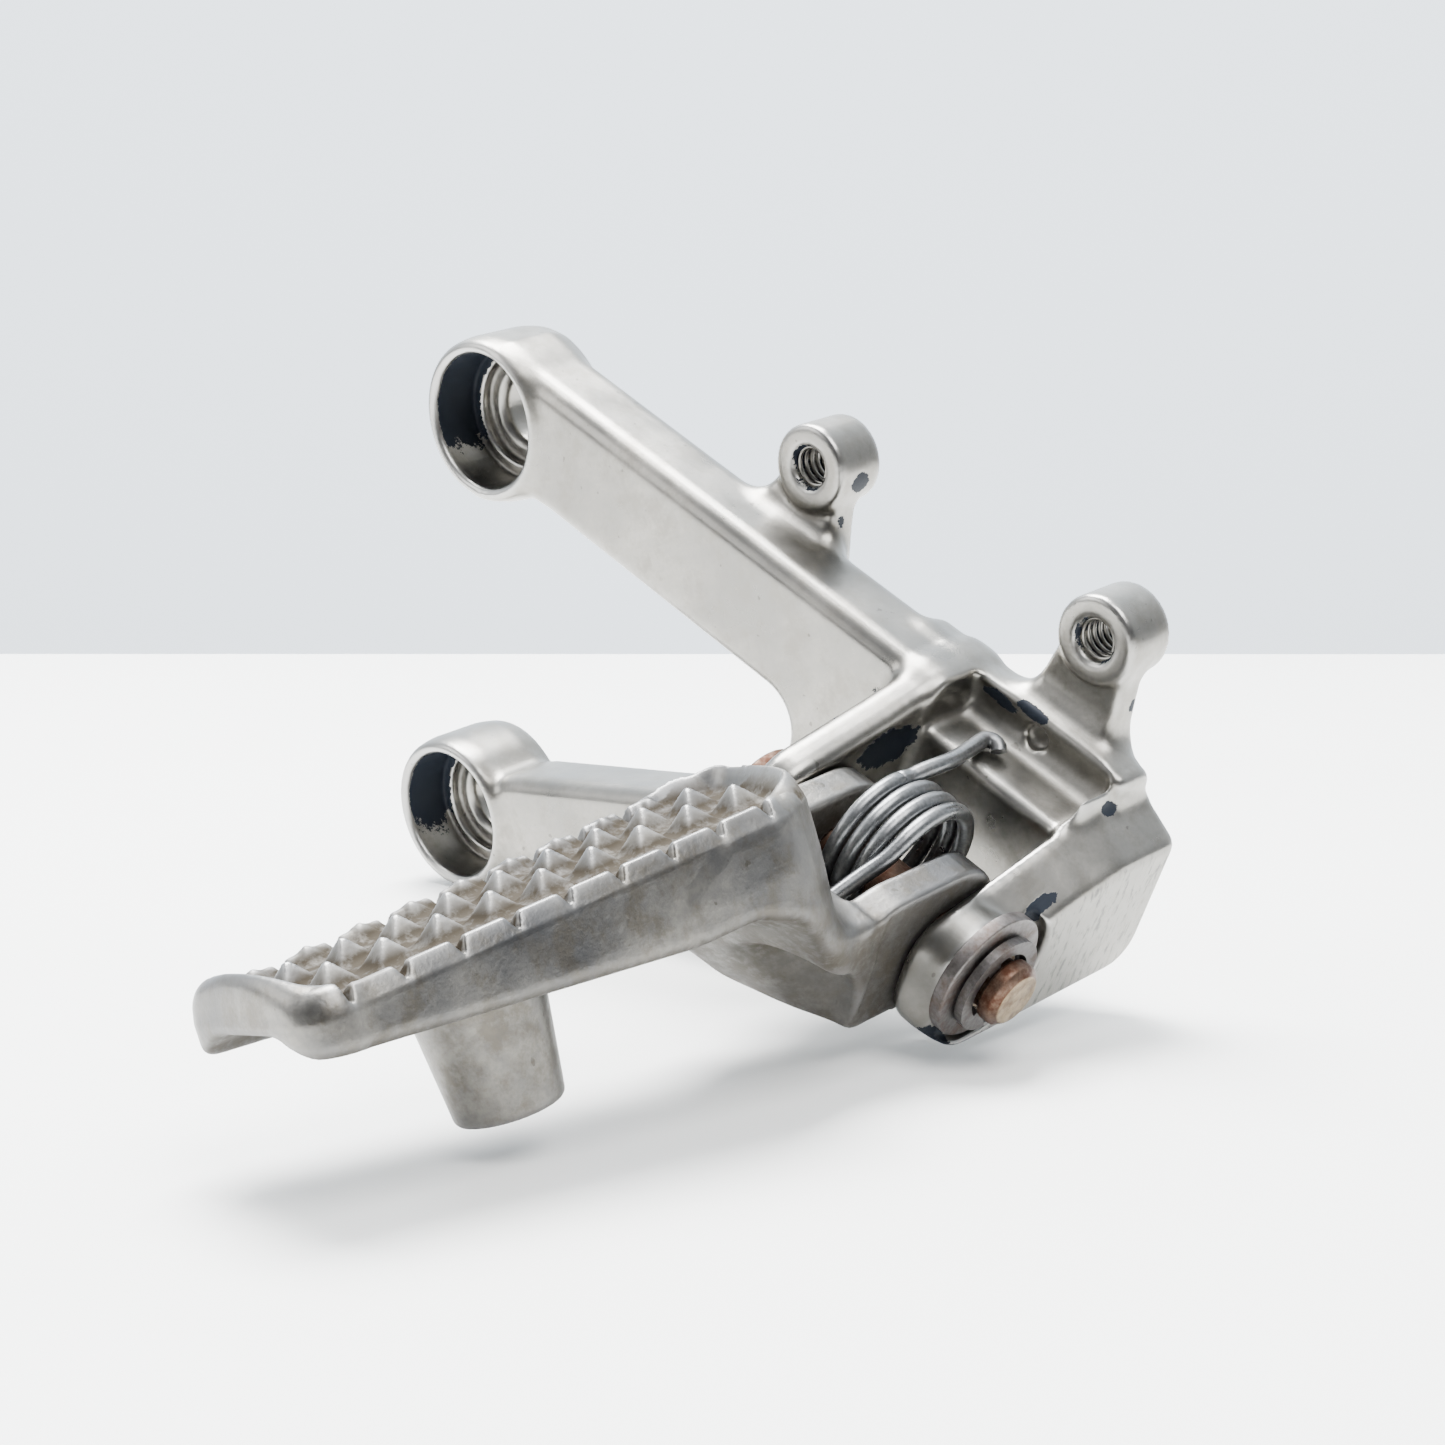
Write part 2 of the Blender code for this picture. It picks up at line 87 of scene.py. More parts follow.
# ---------------------------------------------------------------- distance fields
class Field:
    """Signed distances, in millimetres, on a grid in a local frame.

    A shape is a function of the grid's coordinates. It is worked out only near the box
    from low to high that comes with it.
    """

    FAR = 30.0

    def __init__(self, low, high, step):
        self.low, self.step = np.array(low, np.float64), step
        self.axes = [
            np.arange(a, b + step, step, dtype=np.float32) for a, b in zip(low, high)
        ]
        self.value = np.full([len(a) for a in self.axes], self.FAR, np.float32)

    def window(self, low=None, high=None, pad=6.0):
        """Slices and broadcast coordinates of the grid inside a box."""
        slices, coords = [], []
        for i, axis in enumerate(self.axes):
            a = 0 if low is None else int(np.searchsorted(axis, low[i] - pad))
            b = len(axis) if high is None else int(np.searchsorted(axis, high[i] + pad))
            a, b = max(0, min(a, len(axis) - 1)), max(1, b)
            slices.append(slice(a, b))
            shape = [1, 1, 1]
            shape[i] = -1
            coords.append(axis[a:b].reshape(shape))
        return tuple(slices), coords

    def add(self, shape, low=None, high=None, blend=0.0):
        """Joins a shape on, with a fillet of about blend."""
        cut, (x, y, z) = self.window(low, high)
        self.value[cut] = smooth_min(self.value[cut], shape(x, y, z), blend)

    def cut(self, shape, low=None, high=None, blend=0.0):
        """Takes a shape away, with its edges rounded by about blend."""
        cut, (x, y, z) = self.window(low, high, 2.0 + blend)
        self.value[cut] = -smooth_min(-self.value[cut], shape(x, y, z), blend)


def smooth_min(a, b, blend):
    """The lesser of a and b, run into each other where they differ by less than blend."""
    if blend <= 0:
        return np.minimum(a, b)
    h = np.maximum(blend - np.abs(a - b), 0) / blend
    return np.minimum(a, b) - h * h * (blend / 4)


def rounded(corners, step=math.radians(10)):
    """Outline of (a, b, radius) corners with each corner turned on its radius."""
    outline = []
    count = len(corners)
    for i, (a, b, radius) in enumerate(corners):
        here = Vector((a, b))
        if radius == 0:
            outline.append((a, b))
            continue
        before = (Vector(corners[i - 1][:2]) - here).normalized()
        after = (Vector(corners[(i + 1) % count][:2]) - here).normalized()
        half = before.angle(after) / 2
        reach = radius / math.tan(half)
        centre = here + (before + after).normalized() * radius / math.sin(half)
        start = here + before * reach - centre
        end = here + after * reach - centre
        turn = start.angle_signed(end)
        parts = max(2, round(abs(turn) / step))
        for k in range(parts + 1):
            spot = centre + Matrix.Rotation(-turn * k / parts, 2) @ start
            outline.append((spot.x, spot.y))
    return outline


def polygon(a, b, corners):
    """Signed distance to an outline in the plane of a and b."""
    points = rounded(corners)
    near = np.float32(1e9)
    sign = np.float32(1.0)
    for (ax, ay), (bx, by) in zip(points, points[1:] + points[:1]):
        ex, ey = np.float32(bx - ax), np.float32(by - ay)
        wx, wy = a - np.float32(ax), b - np.float32(ay)
        share = np.clip((wx * ex + wy * ey) / max(ex * ex + ey * ey, 1e-9), 0, 1)
        near = np.minimum(near, (wx - ex * share) ** 2 + (wy - ey * share) ** 2)
        above, below = b >= ay, b < by
        left = ex * wy > ey * wx
        flip = (above & below & left) | (~above & ~below & ~left)
        sign = np.where(flip, -sign, sign)
    return sign * np.sqrt(near)


def slab(flat, w, low, high, edge=0.0):
    """A flat shape run from low to high along w, with its edges rounded."""
    p = flat + edge
    q = np.abs(w - (low + high) / 2) - (high - low) / 2 + edge
    outside = np.sqrt(np.maximum(p, 0) ** 2 + np.maximum(q, 0) ** 2)
    return np.minimum(np.maximum(p, q), 0) + outside - edge


def disc(a, b, centre, radius):
    return np.sqrt((a - centre[0]) ** 2 + (b - centre[1]) ** 2) - radius


def along_pin(outline, low, high, edge=0.0):
    """An outline of (y, t) corners run along u."""
    return lambda u, y, t: slab(polygon(y, t, outline), u, low, high, edge)


def round_pin(radius, low, high, edge=0.0):
    """A cylinder about the pin's axis."""
    return lambda u, y, t: slab(disc(y, t, (0, 0), radius), u, low, high, edge)


def round_inward(centre, radius, low, high, edge=0.0):
    """A cylinder along y, at a (u, t) centre."""
    return lambda u, y, t: slab(disc(u, t, centre, radius), y, low, high, edge)


def sampled(field, points):
    """Trilinear value and gradient of the grid at points given in grid steps."""
    shape = np.array(field.shape)
    base = np.clip(np.floor(points).astype(np.int64), 0, shape - 2)
    f = (points - base).astype(np.float32)
    i, j, k = base.T
    c = [field[i + a, j + b, k + d] for a in (0, 1) for b in (0, 1) for d in (0, 1)]
    x, y, z = f.T
    low = [(1 - z) * c[n] + z * c[n + 1] for n in (0, 2, 4, 6)]
    y0, y1 = (1 - y) * low[0] + y * low[1], (1 - y) * low[2] + y * low[3]
    value = (1 - x) * y0 + x * y1
    gx = y1 - y0
    gy = (1 - x) * (low[1] - low[0]) + x * (low[3] - low[2])
    dz = [c[n + 1] - c[n] for n in (0, 2, 4, 6)]
    gz = (1 - x) * ((1 - y) * dz[0] + y * dz[1]) + x * ((1 - y) * dz[2] + y * dz[3])
    return value, np.stack([gx, gy, gz], 1)


def surface(field):
    """Vertices, in grid steps, and quads of the zero level, one vertex per cell."""
    inside = field < 0
    count = np.zeros([n - 1 for n in field.shape], np.int8)
    corners = [(a, b, c) for a in (0, 1) for b in (0, 1) for c in (0, 1)]
    for a, b, c in corners:
        count += inside[a : a + count.shape[0], b : b + count.shape[1], c : c + count.shape[2]]
    active = np.argwhere((count > 0) & (count < 8))
    index = np.full(count.shape, -1, np.int32)
    index[tuple(active.T)] = np.arange(len(active), dtype=np.int32)
    total = np.zeros((len(active), 3), np.float64)
    hits = np.zeros(len(active), np.float64)
    values = {c: field[tuple((active + c).T)] for c in corners}
    for start in corners:
        for axis in range(3):
            if start[axis]:
                continue
            end = tuple(1 if i == axis else v for i, v in enumerate(start))
            va, vb = values[start], values[end]
            cross = (va < 0) != (vb < 0)
            share = np.where(cross, va / np.where(cross, va - vb, 1), 0)
            spot = active + np.array(start)
            spot = spot.astype(np.float64)
            spot[:, axis] += share
            total += spot * cross[:, None]
            hits += cross
    points = total / hits[:, None]
    quads = []
    for axis in range(3):
        other = [i for i in range(3) if i != axis]
        cut = [slice(None)] * 3
        cut[axis] = slice(None, -1)
        nxt = [slice(None)] * 3
        nxt[axis] = slice(1, None)
        change = inside[tuple(cut)] != inside[tuple(nxt)]
        edges = np.argwhere(change)
        keep = np.all(edges[:, other] > 0, axis=1) & np.all(
            edges[:, other] < np.array(index.shape)[other], axis=1
        )
        edges = edges[keep]
        entering = inside[tuple(edges.T)]
        around = []
        for da, db in ((0, 0), (1, 0), (1, 1), (0, 1)):
            cell = edges.copy()
            cell[:, other[0]] -= da
            cell[:, other[1]] -= db
            around.append(index[tuple(cell.T)])
        quad = np.stack(around, 1)
        if axis == 1:
            entering = ~entering
        quad[~entering] = quad[~entering][:, ::-1]
        quads.append(quad)
    return points, np.concatenate(quads)


def curvature(field, points, reach=1.5):
    """Mean distance to the surface, in millimetres, at reach round each point.

    It is above 0 on an edge and below 0 in a hollow.
    """
    total = 0
    for axis in range(3):
        for way in (-1, 1):
            step = np.zeros(3)
            step[axis] = way * reach / field.step
            total = total + sampled(field.value, points + step)[0]
    return total / 6


def skin(name, field, matrix, look, body, marks):
    """Mesh of a field's zero level, placed by matrix and shaded smooth."""
    points, quads = surface(field.value)
    # A few careful Newton steps put each vertex on the zero level.
    for _ in range(3):
        value, slope = sampled(field.value, points)
        size = np.maximum((slope**2).sum(1), 1e-4)
        move = slope * (value / size)[:, None]
        points -= np.clip(move, -0.3, 0.3) * 0.8
    local = points * field.step + field.low
    slope = sampled(field.value, points)[1]
    slope /= np.maximum(np.sqrt((slope**2).sum(1)), 1e-6)[:, None]
    turn = np.array(matrix)
    world = local * MM @ turn[:3, :3].T + turn[:3, 3]
    mesh = bpy.data.meshes.new(name)
    mesh.vertices.add(len(world))
    mesh.vertices.foreach_set("co", world.ravel())
    mesh.loops.add(quads.size)
    mesh.loops.foreach_set("vertex_index", quads.ravel())
    mesh.polygons.add(len(quads))
    mesh.polygons.foreach_set("loop_start", np.arange(0, quads.size, 4))
    mesh.update(calc_edges=True)
    mesh.validate()
    mesh.shade_smooth()
    mesh.materials.append(look)
    found = marks(local, slope)
    bend = curvature(field, points)
    # Curvature marks: the materials lighten edges for wear and as a painted highlight, and darken
    # hollows for grime and painted shade.
    found["edge"] = np.clip((bend - 0.16) / 0.35, 0, 1)
    found["hollow"] = np.clip((-bend - 0.05) / 0.25, 0, 1)
    for mark, value in found.items():
        layer = mesh.attributes.new(mark, "FLOAT", "POINT")
        layer.data.foreach_set("value", value.astype(np.float32))
    made = placed(name, mesh)
    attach(made, body)
    return made


# ---------------------------------------------------------------- materials
def new_material(name):
    made = bpy.data.materials.new(name)
    made.use_nodes = True
    tree = made.node_tree
    return made, tree, tree.nodes["Principled BSDF"]


def noise(tree, scale, detail=4.0, rough=0.55, stretch=None):
    """Noise in object space, in features per metre."""
    coords = tree.nodes.new("ShaderNodeTexCoord")
    made = tree.nodes.new("ShaderNodeTexNoise")
    made.inputs["Scale"].default_value = scale
    made.inputs["Detail"].default_value = detail
    made.inputs["Roughness"].default_value = rough
    source = coords.outputs["Object"]
    if stretch:
        mapping = tree.nodes.new("ShaderNodeMapping")
        mapping.inputs["Rotation"].default_value = stretch[0]
        mapping.inputs["Scale"].default_value = stretch[1]
        tree.links.new(source, mapping.inputs["Vector"])
        source = mapping.outputs["Vector"]
    tree.links.new(source, made.inputs["Vector"])
    return made.outputs["Fac"]


def ramp(tree, source, stops):
    """Colour ramp of (position, colour or grey) stops."""
    made = tree.nodes.new("ShaderNodeValToRGB")
    elements = made.color_ramp.elements
    while len(elements) > len(stops):
        elements.remove(elements[-1])
    while len(elements) < len(stops):
        elements.new(1.0)
    for element, (place, value) in zip(elements, stops):
        element.position = place
        colour = value if isinstance(value, tuple) else (value, value, value)
        element.color = (*colour, 1)
    tree.links.new(source, made.inputs["Fac"])
    return made.outputs["Color"]


def mix(tree, factor, a, b):
    """A colour from a to b. Each input is a socket, a colour or a grey."""
    made = tree.nodes.new("ShaderNodeMix")
    made.data_type = "RGBA"
    for socket, value in ((made.inputs[0], factor), (made.inputs[6], a), (made.inputs[7], b)):
        if isinstance(value, bpy.types.NodeSocket):
            tree.links.new(value, socket)
        elif isinstance(value, tuple):
            socket.default_value = (*value, 1)
        elif socket == made.inputs[0]:
            socket.default_value = value
        else:
            socket.default_value = (value, value, value, 1)
    return made.outputs[2]


def math_node(tree, kind, a, b=0.5):
    """A Math node of two inputs, each a socket or a number."""
    made = tree.nodes.new("ShaderNodeMath")
    made.operation = kind
    for socket, value in ((made.inputs[0], a), (made.inputs[1], b)):
        if isinstance(value, bpy.types.NodeSocket):
            tree.links.new(value, socket)
        else:
            socket.default_value = value
    return made.outputs[0]


def bump(tree, shader, sources):
    """Chains bumps of (height, strength, distance in millimetres)."""
    last = None
    for height, strength, distance in sources:
        made = tree.nodes.new("ShaderNodeBump")
        made.inputs["Strength"].default_value = strength
        made.inputs["Distance"].default_value = distance * MM
        tree.links.new(height, made.inputs["Height"])
        if last:
            tree.links.new(last, made.inputs["Normal"])
        last = made.outputs["Normal"]
    tree.links.new(last, shader.inputs["Normal"])


def mark(tree, name):
    """A per-vertex value that skin() wrote."""
    made = tree.nodes.new("ShaderNodeAttribute")
    made.attribute_name = name
    return made.outputs["Fac"]


def times(tree, a, b):
    return math_node(tree, "MULTIPLY", a, b)


def spots(tree, scale, detail, rough, stops, stretch=None):
    """Noise with its contrast set by a ramp."""
    return ramp(tree, noise(tree, scale, detail, rough, stretch), stops)


def cast_metal(name, light, dark, stain, grime_and_shade_tone, wear_and_shine, grime_and_shade_share, rough_range, painted):
    """Bare cast aluminium: cloudy tone, stains, fine grain, dark grime and painted shade in
    hollows, and edges lightened partly for wear and partly as a painted highlight.

    The painted casting also has chips of old paint and one rough face. The other one has
    its own mark: grime between the teeth and painted shade on its downward faces.
    """
    made, tree, shader = new_material(name)
    grain = noise(tree, 1500, 2, 0.6)
    fleck = noise(tree, 380, 5, 0.68)
    streak_along = ((0.3, 0.7, 0.2), (1.0, 6.0, 6.0))
    tone = mix(tree, spots(tree, 38, 5, 0.62, [(0.36, 0.0), (0.62, 1.0)]), dark, light)
    streak = spots(tree, 55, 4, 0.6, [(0.4, 0.0), (0.7, 0.5)], streak_along)
    tone = mix(tree, streak, tone, dark)
    tone = mix(tree, spots(tree, 190, 6, 0.7, [(0.48, 0.0), (0.62, 0.55)]), tone, stain)
    tone = mix(tree, ramp(tree, grain, [(0.35, 0.22), (0.6, 0.0)]), tone, dark)
    # Hollows and creases are darkened from the curvature mark: partly grime, partly painted shade
    # where shade falls.
    grime_and_shade = mark(tree, "hollow")
    if not painted:
        grime_and_shade = math_node(tree, "MAXIMUM", grime_and_shade, mark(tree, "grime_and_shade"))
    patch = ramp(tree, fleck, [(0.30, 0.5), (0.52, 1.0)])
    grime_and_shade = times(tree, times(tree, grime_and_shade, patch), grime_and_shade_share)
    tone = mix(tree, grime_and_shade, tone, grime_and_shade_tone)
    # Convex edges are lightened: partly wear, partly a painted highlight.
    tone = mix(tree, times(tree, mark(tree, "edge"), 0.4), tone, wear_and_shine)
    specks = times(tree, spots(tree, 520, 2, 0.5, [(0.72, 0.0), (0.75, 1.0)]), 0.4)
    tone = mix(tree, specks, tone, grime_and_shade_tone)
    rough = spots(tree, 75, 4, 0.6, [(0.3, rough_range[0]), (0.7, rough_range[1])])
    rough = mix(tree, grime_and_shade, rough, 0.75)
    metal = mix(tree, grime_and_shade, (1.0, 1.0, 1.0), (0.1, 0.1, 0.1))
    gloss = mix(tree, grime_and_shade, 0.5, 0.08)
    if painted:
        face = mark(tree, "rough_face")
        scratch_along = ((0.2, 0.9, 0.1), (1.0, 3.5, 1.0))
        scuff = spots(tree, 300, 5, 0.7, [(0.52, 0.0), (0.64, 1.0)], scratch_along)
        scuff = times(tree, scuff, face)
        tone = mix(tree, times(tree, face, 0.45), tone, (0.36, 0.355, 0.33))
        tone = mix(tree, times(tree, scuff, 0.75), tone, (0.10, 0.10, 0.10))
        rough = mix(tree, face, rough, 0.55)
        # Paint is left where its mark and a ragged noise add up to enough.
        ragged = times(tree, noise(tree, 240, 6, 0.78), 1.9)
        left = math_node(tree, "ADD", mark(tree, "paint"), ragged)
        left = ramp(tree, times(tree, left, 0.5), [(0.725, 0.0), (0.735, 1.0)])
        tone = mix(tree, left, tone, (0.010, 0.013, 0.019))
        metal = mix(tree, left, metal, (0.0, 0.0, 0.0))
        rough = mix(tree, left, rough, 0.5)
        gloss = mix(tree, left, gloss, 0.12)
        heights = [
            (grain, 0.18, 0.06), (fleck, 0.12, 0.1), (noise(tree, 120, 3), 0.10, 0.25),
            (scuff, -0.35, 0.12), (left, 0.4, 0.08),
        ]
    else:
        heights = [(grain, 0.3, 0.10), (fleck, 0.25, 0.14), (noise(tree, 150, 3), 0.15, 0.3)]
    bump(tree, shader, heights)
    tree.links.new(tone, shader.inputs["Base Color"])
    tree.links.new(metal, shader.inputs["Metallic"])
    tree.links.new(rough, shader.inputs["Roughness"])
    tree.links.new(gloss, shader.inputs["Specular IOR Level"])
    return made


def steel(name, light, dark, rust, rust_stops, rough_range, scale=260):
    """Steel with rust or grime blotches and fine marks."""
    made, tree, shader = new_material(name)
    fine = noise(tree, 1800, 3, 0.6)
    blotch = noise(tree, scale, 5, 0.65)
    tone = mix(tree, ramp(tree, fine, [(0.25, 0.0), (0.75, 1.0)]), dark, light)
    tone = mix(tree, ramp(tree, blotch, rust_stops), tone, rust)
    tree.links.new(tone, shader.inputs["Base Color"])
    shader.inputs["Metallic"].default_value = 0.9
    rough = ramp(tree, blotch, [(0.35, rough_range[0]), (0.65, rough_range[1])])
    tree.links.new(rough, shader.inputs["Roughness"])
    bump(tree, shader, [(fine, 0.12, 0.03), (blotch, 0.08, 0.02)])
    return made


def pin_metal():
    """Brown rust on the pin's side, a brassy polish on its flat ends."""
    made = steel(
        "pin_steel",
        light=(0.13, 0.085, 0.062), dark=(0.07, 0.043, 0.03), rust=(0.05, 0.02, 0.011),
        rust_stops=[(0.42, 0.0), (0.6, 1.0)], rough_range=(0.35, 0.6), scale=420,
    )
    tree = made.node_tree
    shader = tree.nodes["Principled BSDF"]
    geometry = tree.nodes.new("ShaderNodeNewGeometry")
    facing = tree.nodes.new("ShaderNodeVectorMath")
    facing.operation = "DOT_PRODUCT"
    facing.inputs[1].default_value = ALONG
    tree.links.new(geometry.outputs["Normal"], facing.inputs[0])
    flat = math_node(tree, "ABSOLUTE", facing.outputs["Value"])
    flat = ramp(tree, flat, [(0.86, 0.0), (0.95, 1.0)])
    wear_and_shine = spots(tree, 500, 4, 0.65, [(0.4, 0.0), (0.65, 1.0)])
    brass = mix(tree, wear_and_shine, (0.26, 0.20, 0.125), (0.12, 0.08, 0.05))
    rusty = shader.inputs["Base Color"].links[0].from_socket
    tree.links.new(mix(tree, flat, rusty, brass), shader.inputs["Base Color"])
    return made


BRACKET_METAL = cast_metal(
    "bracket_metal",
    light=(0.30, 0.287, 0.26), dark=(0.185, 0.18, 0.167), stain=(0.17, 0.158, 0.135),
    grime_and_shade_tone=(0.03, 0.026, 0.021), wear_and_shine=(0.52, 0.52, 0.52),
    grime_and_shade_share=0.3, rough_range=(0.25, 0.40), painted=True,
)
PEG_METAL = cast_metal(
    "peg_metal",
    light=(0.205, 0.195, 0.175), dark=(0.095, 0.095, 0.096), stain=(0.085, 0.072, 0.052),
    grime_and_shade_tone=(0.028, 0.021, 0.012), wear_and_shine=(0.36, 0.36, 0.36),
    grime_and_shade_share=0.95, rough_range=(0.30, 0.46), painted=False,
)
PIN_STEEL = pin_metal()
SPRING_STEEL = steel(
    "spring_steel",
    light=(0.22, 0.225, 0.23), dark=(0.12, 0.124, 0.128), rust=(0.06, 0.05, 0.042),
    rust_stops=[(0.55, 0.0), (0.78, 0.7)], rough_range=(0.24, 0.40), scale=120,
)
WASHER_STEEL = steel(
    "washer_steel",
    light=(0.13, 0.12, 0.117), dark=(0.07, 0.063, 0.06), rust=(0.07, 0.04, 0.027),
    rust_stops=[(0.48, 0.0), (0.68, 0.8)], rough_range=(0.38, 0.6),
)
CLIP_STEEL = steel(
    "clip_steel",
    light=(0.12, 0.112, 0.11), dark=(0.065, 0.06, 0.057), rust=(0.05, 0.032, 0.024),
    rust_stops=[(0.5, 0.0), (0.68, 0.8)], rough_range=(0.35, 0.55),
)

# ---------------------------------------------------------------- bracket
# Centres are (u, t). Levels called FACE or FLOOR are y.
UPPER_BOLT = (-108.2, 5.3)
LOWER_BOLT = (-94.6, -64.9)
BOSS_RADIUS = 12.7
BOSS_FACE = 19.1
BOSS_BACK = 34.6
CUP_RADIUS = 10.8
CUP_FLOOR = 27.6
SEAT_RADIUS = 8.7
SEAT_FLOOR = 29.4
BOLT_BORE = 5.6
PLATE = (19.9, 33.5)
TABS = ((-53.2, 27.3), (1.3, 32.3))
TAB_FACES = (30.8, 40.0)
TAB_RADIUS = 6.5
TAB_BORE = 3.05
# Levels along the pin: the gap's faces are at plus and minus EAR_INNER.
EAR_INNER = 13.2
NEAR_OUTER = 22.0
SPOT_FLOOR = 19.5
FAR_OUTER = -19.5
SPOT_RADIUS = 11.2
HUB_RADIUS = 7.4
BORE_RADIUS = 5.05
# The near ear's edge is bevelled at this slope. The share keeps the field a distance.
FACET_SLOPE, FACET_SHARE = 0.5, 0.894


def add_arms(f):
    """The plate with its two bolt bosses."""
    bu, bt = UPPER_BOLT
    lu, lt = LOWER_BOLT
    plate = [
        (bu, bt + BOSS_RADIUS + 0.2, 0), (14, 18.2, 4), (14, -12.8, 5), (-6, -12.8, 25),
        (lu + 6.6, lt - 10.8, 0), (lu, lt, 0), (lu + 7.4, lt + 13.3, 12), (-35, -19, 8),
        (-35, -1.7, 6.5), (bu + 11.7, -1.7, 18), (bu + 3.4, bt - 12.2, 0), (bu, bt, 0),
    ]

    def arms(u, y, t):
        flat = polygon(u, t, plate)
        for centre in (UPPER_BOLT, LOWER_BOLT):
            flat = smooth_min(flat, disc(u, t, centre, BOSS_RADIUS - 0.2), 3.0)
        return slab(flat, y, *PLATE, 3.2)

    f.add(arms)
    for u0, t0 in (UPPER_BOLT, LOWER_BOLT):
        boss = round_inward((u0, t0), BOSS_RADIUS, BOSS_FACE, BOSS_BACK, 1.2)
        f.add(boss, (u0 - 13, BOSS_FACE, t0 - 13), (u0 + 13, BOSS_BACK, t0 + 13), 2.5)


def add_pivot_block(f):
    """The block between the ears and the strips that stand out at its sides."""
    core = [
        (19, -12.6, 3), (19, 12, 0), (22.5, 17.9, 3), (36, 17.9, 3), (37.2, 10, 3),
        (37.2, -12.6, 5.5),
    ]
    f.add(along_pin(core, FAR_OUTER, 13, 1.0), (-20, 19, -13), (13, 38, 19), 1.5)
    strip = [
        (29, -12.6, 0), (28.4, 17.9, 1.6), (36, 17.9, 3), (37.2, 10, 3), (37.2, -12.6, 5.5),
    ]
    f.add(along_pin(strip, 5, 14.9, 1.6), (3, 27, -13), (16, 38, 19), 0.5)
    f.add(along_pin(strip, FAR_OUTER - 7, -14, 2.5), (-28, 27, -13), (-14, 38, 19), 2.0)


def add_tabs(f):
    """The two tapped tabs above the plate, each on its neck."""
    for u0, t0 in TABS:
        side = [
            (u0 - 8.5, 12, 0), (u0 + 8.5, 12, 0), (u0 + 5.9, t0 - 4, 6),
            (u0 + 5.2, t0 + 2, 0), (u0 - 5.2, t0 + 2, 0), (u0 - 5.9, t0 - 4, 6),
        ]

        def neck(u, y, t, side=side):
            return slab(polygon(u, t, side), y, 32.2, 37.4, 1.2)

        f.add(neck, (u0 - 10, 30, 8), (u0 + 10, 41, t0 + 3), 5.0)
        boss = round_inward((u0, t0), TAB_RADIUS, *TAB_FACES, 0.9)
        f.add(boss, (u0 - 8, 30, t0 - 8), (u0 + 8, 41, t0 + 8), 1.6)


def add_ears(f):
    """The ears that hold the pin: the near one is bevelled, the far one is not."""
    near = [
        (-8.9, -12.6, 9.3), (-8.9, 4.8, 7), (15.6, 11.9, 14), (25, 13.8, 10),
        (37.2, 13.8, 2), (37.2, -12.6, 5.5),
    ]
    taper = [
        (-8.9, -17, 9.3), (-8.9, 4.8, 7), (15.6, 11.9, 14), (25, 13.8, 10), (60, 13.8, 0),
        (60, -17, 0),
    ]

    def near_ear(u, y, t):
        shape = slab(polygon(y, t, near), u, EAR_INNER, NEAR_OUTER, 1.7)
        rise = FACET_SLOPE * np.maximum(u - EAR_INNER, 0)
        facet = (polygon(y, t, taper) + rise) * FACET_SHARE
        return -smooth_min(-shape, -facet, 1.2)

    f.add(near_ear, (13, -9, -13), (22, 38, 14), 2.0)
    # The hub keeps a full ring round the bore, where the bevel would cut into it.
    f.add(round_pin(HUB_RADIUS, EAR_INNER + 1, SPOT_FLOOR, 0.6), (13, -8, -8), (20, 8, 8), 1.4)
    far = [
        (-9.3, -12.6, 9.2), (-9.3, 9.8, 9.0), (12, 14.9, 20), (22.5, 17.9, 10),
        (37.2, 17.9, 5), (37.2, -12.6, 5.5),
    ]
    f.add(along_pin(far, FAR_OUTER, -EAR_INNER, 2.2), (-20, -10, -13), (-13, 38, 18), 2.2)


def cut_bolt_hole(f, centre):
    """A flared cup for the bolt's head, a seat and a chamfered bore."""
    def cup(u, y, t):
        flat = disc(u, t, centre, CUP_RADIUS)
        return slab(flat - np.maximum(BOSS_FACE + 0.6 - y, 0), y, 0, CUP_FLOOR, 0.3)

    def through(u, y, t):
        flat = disc(u, t, centre, BOLT_BORE)
        chamfer = np.clip(SEAT_FLOOR + 1.0 - y, 0, 1.0)
        return slab(flat - chamfer, y, SEAT_FLOOR - 2, 60)

    low = (centre[0] - 13, 18, centre[1] - 13)
    high = (centre[0] + 13, 36, centre[1] + 13)
    for shape in (cup, round_inward(centre, SEAT_RADIUS, 0, SEAT_FLOOR, 0.3), through):
        f.cut(shape, low, high, 0.3)


def cut_tab_hole(f, u0, t0):
    """The tab's tapped bore, with a chamfer at its face."""
    def hole(u, y, t):
        flat = disc(u, t, (u0, t0), TAB_BORE)
        return slab(flat - np.maximum(TAB_FACES[0] + 0.6 - y, 0), y, 0, 60)

    f.cut(hole, (u0 - 5, 28, t0 - 5), (u0 + 5, 41, t0 + 5), 0.2)


